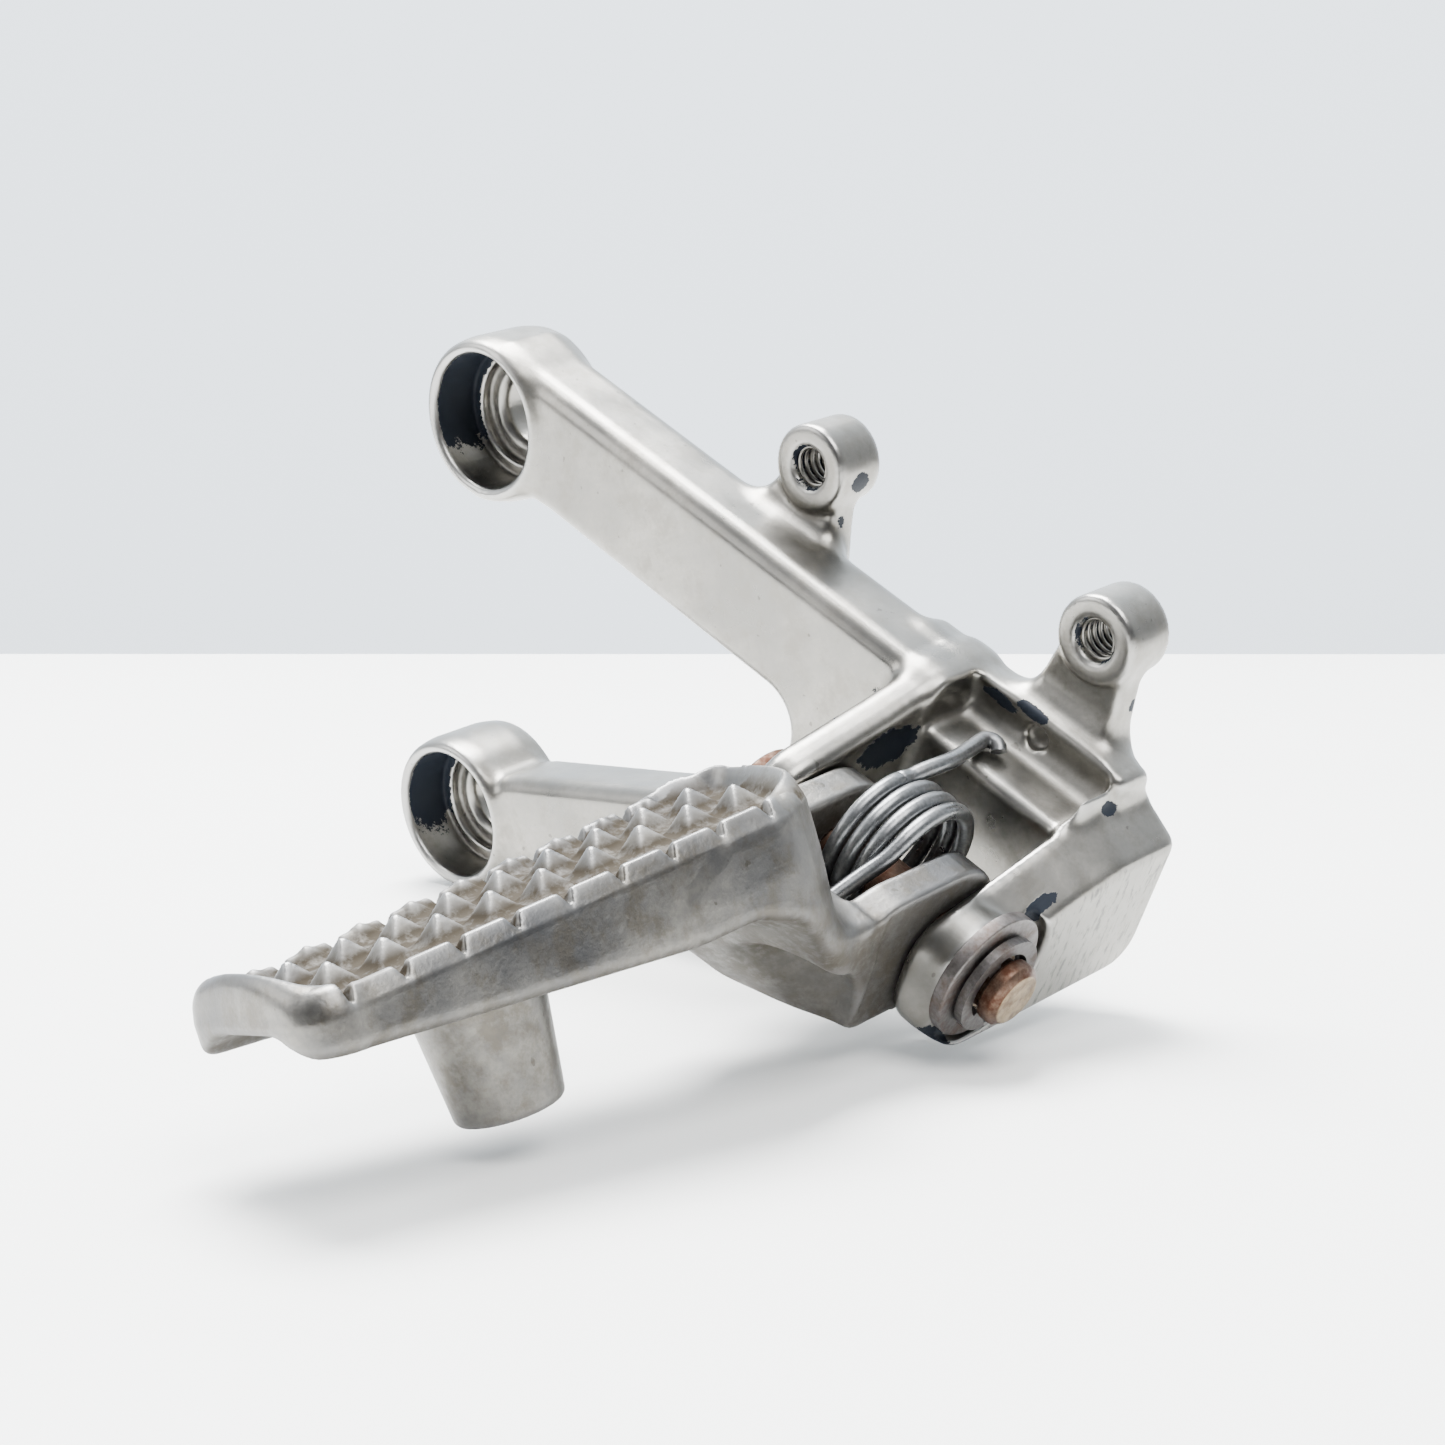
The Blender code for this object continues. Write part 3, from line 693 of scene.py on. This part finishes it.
def make_bracket():
    f = Field((-123, -14, -80), (25, 42, 41), 0.5)
    add_arms(f)
    add_pivot_block(f)
    add_tabs(f)
    # Space for the peg's lugs and the spring, with the spring's shelf above it.
    gap = [
        (-60, -60, 0), (19, -60, 0), (19, 11.6, 2.0), (30.2, 11.6, 3.0),
        (28.6, 17.8, 0), (28.2, 60, 0), (-60, 60, 0),
    ]
    f.cut(along_pin(gap, -EAR_INNER, EAR_INNER, 1.4), (-14, -14, -20), (14, 32, 41), 1.0)
    add_ears(f)
    f.cut(round_pin(SPOT_RADIUS, SPOT_FLOOR, 40, 0.3), (19, -12, -12), (25, 12, 12), 0.4)
    f.cut(round_pin(BORE_RADIUS, -60, 60), (-20, -6, -6), (25, 6, 6))
    cut_bolt_hole(f, UPPER_BOLT)
    cut_bolt_hole(f, LOWER_BOLT)
    for u0, t0 in TABS:
        cut_tab_hole(f, u0, t0)
    # A small drilled hole in the shelf, by the spring's hook.
    f.cut(round_inward((-0.6, 14.8), 1.9, 20, 30.4), (-4, 20, 12), (3, 31, 18), 0.4)
    made = skin(
        "bracket_casting", f, PIVOT, BRACKET_METAL, "mount", bracket_marks
    )
    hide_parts("bracket")
    return made


def wire(name, path, radius, look):
    """Round bar along a list of pivot-frame points."""
    curve = bpy.data.curves.new(name, "CURVE")
    curve.dimensions = "3D"
    curve.fill_mode = "FULL"
    curve.bevel_depth = radius * MM
    curve.bevel_resolution = 6
    curve.use_fill_caps = True
    spline = curve.splines.new("POLY")
    spline.points.add(len(path) - 1)
    for point, place in zip(spline.points, path):
        point.co = (*(PIVOT @ (place * MM)), 1)
    made = placed(name, curve)
    curve.materials.append(look)
    return made


THREAD_RADIUS = 3.0
THREAD_PITCH = 1.25
THREAD_WIRE = 0.34
THREAD_TURNS = 6


def make_thread(number, u0, t0):
    """Thread ridge in a tab's hole."""
    steps = 28
    path = []
    for k in range(THREAD_TURNS * steps + 1):
        angle = 2 * math.pi * k / steps
        path.append(Vector((
            u0 + THREAD_RADIUS * math.cos(angle),
            TAB_FACES[0] + 0.9 + THREAD_PITCH * k / steps,
            t0 + THREAD_RADIUS * math.sin(angle),
        )))
    made = wire(f"tab_thread_{number}", path, THREAD_WIRE, BRACKET_METAL)
    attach(made, "mount")


def blob(p, centre, size):
    """1 near centre, falling to 0 at the ellipsoid of the given half sizes."""
    return np.clip(1.6 - 1.6 * np.sqrt((((p - centre) / size) ** 2).sum(1)), 0, 1)


# Places where paint is left: (centre, half sizes) in the pivot frame.
PAINT_LEFT = [
    ((-20.5, 12, 10.5), (6, 12, 5)), ((-13.2, 13, 9.5), (1.6, 9, 4.5)),
    ((-8, 29.3, 16.6), (5, 1.8, 1.8)), ((-2.6, 28.6, 18.2), (4, 1.6, 1.6)),
    ((14.2, 28, 13.4), (1.8, 3.0, 1.8)), ((19.5, 9.8, 6.5), (1.4, 5, 3.5)),
    ((20, -5, -10.5), (4, 4, 3)), ((-46.8, 35.5, 27.5), (1.5, 2.8, 2.6)),
    ((-47.5, 34, 20.2), (1.6, 2.2, 3.0)), ((8.2, 36, 24.2), (1.5, 1.0, 1.5)),
]


def bracket_marks(p, normal):
    """Where old paint is left, and where the face is rough, on the bracket."""
    paint = np.zeros(len(p))
    for centre, size in PAINT_LEFT:
        paint = np.maximum(paint, blob(p, np.array(centre), np.array(size)))
    for u0, t0 in (UPPER_BOLT, LOWER_BOLT):
        across, rise = p[:, 0] - u0, p[:, 2] - t0
        ring = np.hypot(across, rise)
        inside = (ring < CUP_RADIUS + 0.15) & (p[:, 1] > BOSS_FACE + 1.0) & (p[:, 1] < 29)
        side = np.clip(0.42 - 0.75 * across / CUP_RADIUS + 0.45 * rise / CUP_RADIUS, 0, 1)
        paint = np.maximum(paint, np.where(inside & (ring > 9.2), side, 0))
    for u0, t0 in TABS:
        ring = np.hypot(p[:, 0] - u0, p[:, 2] - t0)
        paint = np.maximum(paint, np.where((ring < 3.5) & (p[:, 1] > 30), 0.55, 0))
    rough = np.clip((normal[:, 0] - 0.8) * 8, 0, 1) * (p[:, 0] > 20.8)
    return {"paint": paint, "rough_face": rough}


# ---------------------------------------------------------------- peg
# The deck's outline: CENTRE is its middle in x, and it narrows from the root to the tip.
CENTRE = 6.1
HALF_ROOT = 16.0
HALF_TIP = 14.4
PEG_END = 99.6
WALL = 3.1
# Levels in z: the hollow's ceiling, then the recess's floor, the deck's edge, the
# notches' floor and the teeth's tips.
HOLLOW_TOP = 15.7
FLOOR = 19.5
CREST = 21.3
NOTCH_FLOOR = 19.3
TIP_LEVEL = 22.7
# Teeth and notches stand at stations along the deck, from STATION_0 outward.
TOOTH_PITCH = 7.86
STATIONS = 9
STATION_0 = 27.1
TOOTH_FLAT = 0.3
# A sloped side takes its slope, and the share that keeps the field a distance.
TOOTH_SLOPE, TOOTH_SHARE = 1.3, 0.61
NOTCH_SLOPE, NOTCH_SHARE = 1.9, 0.5
NOTCH_FLAT = 0.1
NOTCH_INNER = 11.4
WELL_SLOPE, WELL_SHARE = 0.75, 0.8
# (distance across from the middle, tip level) of each row of teeth.
ROWS = ((-13.6, CREST + 0.3), (-4.7, TIP_LEVEL), (4.7, TIP_LEVEL))
# The feeler boss hangs under the deck and widens upward from its tip.
FEELER_STATION = 69.5
FEELER_TIP = -4.0
FEELER_RADIUS = 6.9
FEELER_BORE = 2.6
LUG_OUTER = 12.9
LUG_INNER = 7.4
LUG_RADIUS = 11.0
COIL_RADIUS = 10.4
COIL_OFFSET = (2.8, 3.3)
WIRE_RADIUS = 1.2
TO_PIVOT = np.array(PIVOT.inverted() @ PEG)


def in_pivot(x, y, z):
    """Peg-frame coordinates as (u, y, t) in the pivot frame. Both have one origin."""
    return [TO_PIVOT[i, 0] * x + TO_PIVOT[i, 1] * y + TO_PIVOT[i, 2] * z for i in range(3)]


def add_deck(f):
    """The deck's block, the taller root wall and the lip at the tip."""
    c = CENTRE
    deck = [
        (c - HALF_ROOT, -27, 4), (c - HALF_TIP, -PEG_END, 5), (c + HALF_TIP, -PEG_END, 5),
        (c + HALF_ROOT, -27, 4),
    ]

    def walls(x, y, z):
        lean = np.clip(z - 18.6, 0, 3) * 0.42 + np.clip(12 - z, 0, 12) * 0.06
        return slab(polygon(x, y, deck) + lean, z, 0, CREST, 0.5)

    f.add(walls)
    root = [
        (c - HALF_ROOT + 0.5, -46, 0), (c + HALF_ROOT - 0.5, -46, 0),
        (c + HALF_ROOT + 0.2, -27.5, 9), (c + 11, -20.6, 8), (c - 3.8, -16.0, 14),
        (c - 12, -15.0, 4), (c - HALF_ROOT, -22, 6),
    ]

    def root_wall(x, y, z):
        u = in_pivot(x, y, z)[0]
        crown = np.where(x > c, 0.013, 0.004) * (x - c) ** 2
        top = 24.0 - crown - np.clip(-y - 25, 0, 7) * 0.25 - np.clip(-y - 38, 0, 14) * 0.5
        lean = np.clip(z - 18.6, 0, 3) * 0.3 + np.clip(12 - z, 0, 12) * 0.06
        block = slab(polygon(x, y, root) + lean, z, -16, top, 1.7)
        return -smooth_min(-block, LUG_OUTER + 0.1 - u + np.maximum(z - 6, 0), 2.0)

    f.add(root_wall, (-11, -47, -17), (24, -14, 24), 1.5)
    lip = [
        (c - 14.2, -PEG_END + 6.2, 2), (c - 14.2, -PEG_END, 5), (c + 14.2, -PEG_END, 5),
        (c + 14.2, -PEG_END + 6.2, 2),
    ]

    def tip_lip(x, y, z):
        crown = np.clip(np.abs(x - c + 1.2) / 13, 0, 1) ** 2 * 3.6
        return slab(polygon(x, y, lip), z, 11, 25.0 - crown, 2.7)

    f.add(tip_lip, (-9, -100, 12), (21, -93, 26), 3.0)


def add_lugs(f):
    """The two lugs on the pin and the bridge that joins them to the root."""
    lug = [
        (9.8, -LUG_RADIUS, 9.6), (9.8, LUG_RADIUS, 9.6), (-12, LUG_RADIUS - 0.6, 6),
        (-20, 8.6, 3), (-32, 10, 0), (-32, -4, 0), (-17, -LUG_RADIUS - 0.6, 5),
    ]
    bridge = [
        (-10.6, -LUG_RADIUS, 3), (-10.6, 3.0, 1.5), (-15.8, 3.2, 2.5), (-17.5, 9.4, 0),
        (-32, 10, 0), (-34, 8, 0), (-34, -4, 0), (-20, -LUG_RADIUS, 4),
    ]

    def lugs(x, y, z):
        u, w, t = in_pivot(x, y, z)
        side = polygon(w, t, lug)
        near = slab(side, u, LUG_INNER, LUG_OUTER, 0.9)
        far = slab(side, u, -LUG_OUTER, -LUG_INNER, 0.9)
        between = slab(polygon(w, t, bridge), u, -LUG_OUTER, LUG_OUTER, 1.4)
        return smooth_min(np.minimum(near, far), between, 1.5)

    f.add(lugs, (-20, -34, -20), (26, 13, 20), 3.0)


def cut_underside(f):
    """The curved belly, the hollow with its open tip and feeler boss, and the scoop."""
    c = CENTRE
    belly = [
        (-12.2, -19, 0), (-15.4, -14.6, 6), (-19.4, -9.8, 20), (-26.6, 0.2, 12),
        (-30.4, 5.4, 7), (-37, 7.9, 6), (-47, 7.9, 10), (-PEG_END - 6, 15.1, 0),
        (-PEG_END - 6, -80, 0), (-12.2, -80, 0),
    ]
    f.cut(lambda x, y, z: slab(polygon(y, z, belly), x, -80, 80), None, None, 1.8)
    # The lugs' lower side, flat in the pivot frame.
    f.cut(lambda x, y, z: in_pivot(x, y, z)[2] + 11.3, (-20, -40, -20), (26, -9, 5), 1.2)
    hollow = [
        (c - HALF_ROOT + WALL + 0.2, -44, 6), (c - HALF_TIP + WALL, -PEG_END - 9, 0),
        (c + HALF_TIP - WALL, -PEG_END - 9, 0), (c + HALF_ROOT - WALL - 0.2, -44, 6),
    ]

    def under_deck(x, y, z):
        return slab(polygon(x, y, hollow), z, -40, HOLLOW_TOP, 2.5)

    f.cut(under_deck, None, None, 1.0)
    mouth = [(c - 11.2, -10, 0), (c - 11.2, 17.4, 6.5), (c + 11.2, 17.4, 6.5), (c + 11.2, -10, 0)]

    def open_tip(x, y, z):
        return slab(polygon(x, z, mouth), y, -120, -91, 2.0)

    f.cut(open_tip, (-8, -101, 4), (20, -90, 19), 1.2)
    low, high = (c - 10, -FEELER_STATION - 10, -5), (c + 10, -FEELER_STATION + 10, 17)
    f.add(feeler_boss, low, high, 1.6)
    f.cut(lambda x, y, z: scoop(*in_pivot(x, y, z)), (-12, -52, -20), (26, -10, 16), 1.4)


def make_peg():
    f = Field((-14, -101, -19), (26, 12.5, 26), 0.38)
    c = CENTRE
    add_deck(f)
    add_lugs(f)
    cut_underside(f)
    recess = [
        (c - 11.6, -94.4, 3), (c + 11.6, -94.4, 3), (c + 12.9, -31, 8), (c + 8.6, -24.2, 7),
        (c - 4.6, -19.4, 10), (c - 10.2, -18.6, 3), (c - 12.9, -25, 5),
    ]

    def well(x, y, z):
        flat = (polygon(x, y, recess) - (z - FLOOR) * WELL_SLOPE) * WELL_SHARE
        return slab(flat, z, FLOOR, 60, 0.6)

    f.cut(well, (-12, -97, 18), (24, -18, 26), 0.6)

    def coil_space(x, y, z):
        u, w, t = in_pivot(x, y, z)
        room = disc(w, t, COIL_OFFSET, COIL_RADIUS + WIRE_RADIUS + 1.6)
        return slab(room, u, -LUG_INNER, LUG_INNER)

    f.cut(coil_space, (-16, -14, -16), (20, 13, 20), 0.8)
    f.add(teeth, (-9, -94, 18), (22, -22, 24), 0.9)
    f.cut(notches, (-12, -92, 18), (24, -29, 24), 0.2)

    def ear_room(x, y, z):
        u, w, _ = in_pivot(x, y, z)
        near = np.maximum(LUG_OUTER - u, -14 - w)
        far = np.maximum(LUG_OUTER + u, -16 - w)
        return np.minimum(near, far)

    f.cut(ear_room, (-16, -20, -20), (27, 13, 26), 0.8)

    def bore(x, y, z):
        _, w, t = in_pivot(x, y, z)
        return disc(w, t, (0, 0), BORE_RADIUS)

    f.cut(bore, (-14, -7, -17), (14, 7, 17))

    def feeler_hole(x, y, z):
        return slab(disc(x, y, (c, -FEELER_STATION), FEELER_BORE), z, -20, 9)

    low, high = (c - 4, -FEELER_STATION - 4, -6), (c + 4, -FEELER_STATION + 4, 10)
    f.cut(feeler_hole, low, high, 0.5)
    made = skin("peg_casting", f, PEG, PEG_METAL, "peg", peg_marks)
    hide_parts("foot_peg")
    return made


def peg_marks(p, normal):
    """Grime round the teeth, and painted shade on the peg's downward faces, in the hollow and the
    scoop.
    """
    floor = np.clip((TIP_LEVEL - 0.6 - p[:, 2]) / 1.8, 0, 1) * (p[:, 2] > FLOOR - 0.6)
    floor *= (p[:, 1] < -19) & (p[:, 1] > -95) & (np.abs(p[:, 0] - CENTRE) < 13.6)
    # Faces that look down are darkened: painted shade below the peg.
    under = np.clip(-normal[:, 2] * 1.2, 0, 1) * 0.8
    return {"grime_and_shade": np.maximum(floor, under)}


SCOOP_AXIS = np.array((0.64, -0.75, -0.15)) / np.linalg.norm((0.64, -0.75, -0.15))
SCOOP_CENTRE = np.array((5.0, -20.8, -6.4))
SCOOP_RADIUS = 11.5


def scoop(u, w, t):
    """Round pocket with a flat bottom in the near lower corner of the root."""
    d = [u - SCOOP_CENTRE[0], w - SCOOP_CENTRE[1], t - SCOOP_CENTRE[2]]
    height = sum(a * b for a, b in zip(SCOOP_AXIS, d))
    ring = np.sqrt(np.maximum(sum(a * a for a in d) - height * height, 0))
    return slab(ring - SCOOP_RADIUS, height, 0, 60, 4.6)


def feeler_boss(x, y, z):
    """The boss under the deck, wider towards its top."""
    radius = FEELER_RADIUS + np.clip((z - FEELER_TIP) / 11.0, 0, 2) * 1.25
    flat = disc(x, y, (CENTRE, -FEELER_STATION), 0) - radius
    return slab(flat, z, FEELER_TIP, 16, 0.9)


def across_of(x, y):
    """Distance from the deck's middle, scaled so that the rows narrow with the deck."""
    return (x - CENTRE) / (1.02 + y / PEG_END * 0.08)


def teeth(x, y, z):
    """Pyramids: two full rows in the middle and a lower one on the far edge."""
    across = across_of(x, y)
    phase = (-y - STATION_0) / TOOTH_PITCH
    station = np.clip(np.round(phase), 0, STATIONS - 1)
    along = np.abs(phase - station) * TOOTH_PITCH
    best = np.float32(1e3)
    for row, top in ROWS:
        side = np.maximum(np.maximum(np.abs(across - row), along) - TOOTH_FLAT, 0)
        best = np.minimum(best, (z - top + side * TOOTH_SLOPE) * TOOTH_SHARE)
    return np.maximum(best, 18 - z)


def notches(x, y, z):
    """V cuts through both edges of the deck between the stations."""
    phase = (-y - STATION_0) / TOOTH_PITCH - 0.5
    along = np.abs(phase - np.clip(np.round(phase), 0, STATIONS - 1)) * TOOTH_PITCH
    depth = (along - NOTCH_FLAT) * NOTCH_SLOPE - (z - NOTCH_FLOOR)
    return np.maximum(depth * NOTCH_SHARE, NOTCH_INNER - np.abs(across_of(x, y)))


# ---------------------------------------------------------------- turned and bent steel
def turned(name, profile, look, node, steps=96):
    """Closed profile of (along the pin, radius) turned about the pin."""
    points, faces = [], []
    count = len(profile)
    for k in range(steps):
        angle = 2 * math.pi * k / steps
        for along, radius in profile:
            spot = Vector((along, radius * math.cos(angle), radius * math.sin(angle)))
            points.append(PIVOT @ (spot * MM))
    for k in range(steps):
        for i in range(count - 1):
            a, b = k * count + i, (k + 1) % steps * count + i
            faces.append((a, a + 1, b + 1, b))
    mesh = bpy.data.meshes.new(name)
    mesh.from_pydata(points, [], faces)
    made = placed(name, mesh)
    weld = made.modifiers.new("Weld", "WELD")
    weld.merge_threshold = 1e-6
    edge = made.modifiers.new("Bevel", "BEVEL")
    edge.width = 0.25 * MM
    edge.segments = 3
    edge.limit_method = "ANGLE"
    edge.angle_limit = math.radians(35)
    made.data.shade_smooth()
    made.data.materials.append(look)
    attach(made, "mount")
    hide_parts(node)
    return made


PIN_RADIUS = 4.75
PIN_HEAD = 6.9
PIN_END = 26.8
GROOVE_DEPTH, GROOVE_WIDTH = 0.9, 1.9
WASHER = (SPOT_FLOOR + 0.3, SPOT_FLOOR + 2.3)
WASHER_RADIUS = 9.5


def make_pin():
    r, head = PIN_RADIUS, PIN_HEAD
    groove = WASHER[1] + 0.25
    far = FAR_OUTER - 0.3
    return turned(
        "pin_turned",
        [
            (PIN_END, 0), (PIN_END, r - 1.0), (PIN_END - 1.0, r), (groove + GROOVE_WIDTH, r),
            (groove + GROOVE_WIDTH, r - GROOVE_DEPTH), (groove, r - GROOVE_DEPTH),
            (groove, r), (far, r), (far, head - 0.3), (far - 0.5, head),
            (far - 2.6, head), (far - 3.1, head - 0.6), (far - 3.1, 0),
        ],
        PIN_STEEL, "pivot_pin",
    )


def make_washer():
    low, high = WASHER
    inner, outer = BORE_RADIUS, WASHER_RADIUS
    return turned(
        "washer_ring",
        [(high, inner), (high, outer), (low, outer), (low, inner), (high, inner)],
        WASHER_STEEL, "washer",
    )


def smoothed(points, rounds):
    """Corner cutting that keeps both ends."""
    for _ in range(rounds):
        cut = [points[0]]
        for a, b in zip(points, points[1:]):
            cut += [a.lerp(b, 0.25), a.lerp(b, 0.75)]
        points = cut + [points[-1]]
    return points


def make_spring():
    """Three turns and a part round the pin, one leg on the bracket's shelf, one on the peg."""
    cy, ct = COIL_OFFSET
    first, last = math.radians(70), math.radians(130 + 360 * 3)
    coil_from, coil_length = -4.1, 8.4
    count = 150
    coil = []
    for k in range(count + 1):
        share = k / count
        angle = first + (last - first) * share
        coil.append(Vector((
            coil_from + coil_length * share,
            cy + COIL_RADIUS * math.cos(angle),
            ct + COIL_RADIUS * math.sin(angle),
        )))
    shelf_leg = [
        Vector((-2.4, 23.8, 12.8)), Vector((-3.0, 24.2, 13.3)), Vector((-4.2, 24.2, 13.4)),
        Vector((-4.9, 23.4, 13.4)), Vector((-4.9, 22.4, 13.4)), Vector((-3.4, 15.0, 13.9)),
        Vector((-3.4, 11.5, 14.0)), Vector((-3.8, 8.6, 13.7)),
    ]
    end = coil[-1]
    peg_leg = [
        end + Vector((-0.1, -2.3, -1.9)), Vector((3.4, -9.0, 7.3)), Vector((2.7, -13.4, 4.4)),
    ]
    # Each leg is smoothed with the coil's nearest points, then cut back to where they meet.
    path = smoothed(shelf_leg + coil[:4], 2)[:-6] + coil[1:-3]
    path += smoothed(coil[-4:] + peg_leg, 2)[4:]
    bent = wire("spring_path", path, WIRE_RADIUS, SPRING_STEEL)
    bpy.context.view_layer.update()
    shown = bent.evaluated_get(bpy.context.evaluated_depsgraph_get())
    made = placed("spring_wire", bpy.data.meshes.new_from_object(shown))
    bpy.data.objects.remove(bent)
    made.data.shade_smooth()
    start, end = (PIVOT @ (Vector((u, 0, 0)) * MM) for u in (-2.2, 2.6))
    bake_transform(made)
    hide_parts("return_spring")
    return made


make_bracket()
for number, (u0, t0) in enumerate(TABS):
    make_thread(number, u0, t0)
make_peg()
make_pin()
make_washer()
make_spring()
# The clip keeps its CAD shape, with its own steel on it.
clip = frame["nodes"]["e_clip"].data
clip.materials.clear()
clip.materials.append(CLIP_STEEL)


# ---------------------------------------------------------------- stage
# The frame holds the part upright, so the table that it lies on in the photograph leans.
TABLE_UP = Vector((0.201, 0.149, 0.968)).normalized()
TABLE_SIDES = (-0.55, 0.55)
TABLE_DEPTHS = (-0.2, 0.36)
CAMERA_AT = (0.3554, -0.30867, -0.00075)
CAMERA_RIGHT = (0.67822, 0.69203, -0.2472)
CAMERA_UP = (0.08418, 0.26101, 0.96166)
CAMERA_BACK = (0.73002, -0.67303, 0.11877)


def lowest_along(direction):
    """How far down the part reaches against direction, in metres."""
    graph = bpy.context.evaluated_depsgraph_get()
    least = 1e9
    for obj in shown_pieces():
        shown = obj.evaluated_get(graph)
        mesh = shown.to_mesh()
        points = np.empty(len(mesh.vertices) * 3, np.float32)
        mesh.vertices.foreach_get("co", points)
        points = points.reshape(-1, 3)
        world = np.array(shown.matrix_world)
        points = points @ world[:3, :3].T + world[:3, 3]
        least = min(least, float((points @ np.array(direction)).min()))
        shown.to_mesh_clear()
    return least


def make_table(corners):
    """White sheet that is seen from above only."""
    mesh = bpy.data.meshes.new("table_white")
    mesh.from_pydata(corners, [], [(0, 1, 2, 3)])
    made = placed("table_white", mesh)
    look, tree, shader = new_material("table_white")
    shader.inputs["Roughness"].default_value = 0.5
    shader.inputs["Specular IOR Level"].default_value = 0.25
    tone = spots(tree, 9, 3, 0.55, [(0.3, (0.88, 0.88, 0.86)), (0.7, (0.91, 0.91, 0.89))])
    tree.links.new(tone, shader.inputs["Base Color"])
    # Seen from underneath, the table isn't there, so a low view still shows the part.
    geometry = tree.nodes.new("ShaderNodeNewGeometry")
    clear = tree.nodes.new("ShaderNodeBsdfTransparent")
    sides = tree.nodes.new("ShaderNodeMixShader")
    tree.links.new(geometry.outputs["Backfacing"], sides.inputs[0])
    tree.links.new(shader.outputs[0], sides.inputs[1])
    tree.links.new(clear.outputs[0], sides.inputs[2])
    tree.links.new(sides.outputs[0], tree.nodes["Material Output"].inputs["Surface"])
    mesh.materials.append(look)
    made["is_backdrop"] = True


def make_stage():
    """The table under the part's lowest point. Gives its centre and its two directions."""
    least = lowest_along(TABLE_UP)
    centre = Vector((0.03, -0.05, -0.05))
    centre += TABLE_UP * (least - centre.dot(TABLE_UP))
    side = Vector(CAMERA_RIGHT)
    side = (side - TABLE_UP * side.dot(TABLE_UP)).normalized()
    deep = TABLE_UP.cross(side)
    (left, right), (front, back) = TABLE_SIDES, TABLE_DEPTHS
    around = ((left, front), (right, front), (right, back), (left, back))
    make_table([centre + side * a + deep * b for a, b in around])
    return centre, side, deep


def area(name, place, target, size, energy):
    """A square light at place, turned to target."""
    data = bpy.data.lights.new(name, "AREA")
    data.size = size
    data.energy = energy
    made = placed(name, data)
    made.location = place
    made.rotation_euler = (target - place).to_track_quat("-Z", "Y").to_euler()


def make_world(deep):
    """Pale room: bright behind and above the part, dimmer on the camera's side."""
    made = bpy.data.worlds.new("studio")
    bpy.context.scene.world = made
    made.use_nodes = True
    tree = made.node_tree
    coords = tree.nodes.new("ShaderNodeTexCoord")
    facing = tree.nodes.new("ShaderNodeVectorMath")
    facing.operation = "DOT_PRODUCT"
    facing.inputs[1].default_value = (deep * 0.8 + TABLE_UP * 0.45).normalized()
    tree.links.new(coords.outputs["Generated"], facing.inputs[0])
    level = math_node(tree, "MULTIPLY_ADD", facing.outputs["Value"], 0.5)
    level.node.inputs[2].default_value = 0.5
    tone = ramp(tree, level, [
        (0.0, (0.16, 0.16, 0.17)), (0.35, (0.25, 0.26, 0.28)), (0.60, (0.95, 1.0, 1.05)),
        (0.76, (1.7, 1.8, 1.9)), (0.90, (2.5, 2.75, 3.0)), (0.99, (2.9, 3.2, 3.5)),
    ])
    tree.links.new(tone, tree.nodes["Background"].inputs["Color"])
    tree.nodes["Background"].inputs["Strength"].default_value = 1.0


centre, side, deep = make_stage()
make_world(deep)
aim = centre + TABLE_UP * 0.05
# (name, metres up, deep and to the side from the aim, size, watts)
LIGHTS = (
    ("top_soft", 0.75, 0.25, -0.1, 0.5, 40),
    ("left_soft", 0.35, -0.1, -0.7, 0.45, 3.5),
    ("front_fill", 0.85, -0.5, 0.3, 0.6, 16),
)
for name, rise, back, along, size, energy in LIGHTS:
    area(name, aim + TABLE_UP * rise + deep * back + side * along, aim, size, energy)

camera = placed("camera", bpy.data.cameras.new("camera"))
camera.data.sensor_width = 36
camera.data.lens = 72.25
camera.data.clip_start = 0.01
turned_to = Matrix((CAMERA_RIGHT, CAMERA_UP, CAMERA_BACK)).transposed().to_4x4()
camera.matrix_world = Matrix.Translation(CAMERA_AT) @ turned_to
bpy.context.scene.camera = camera
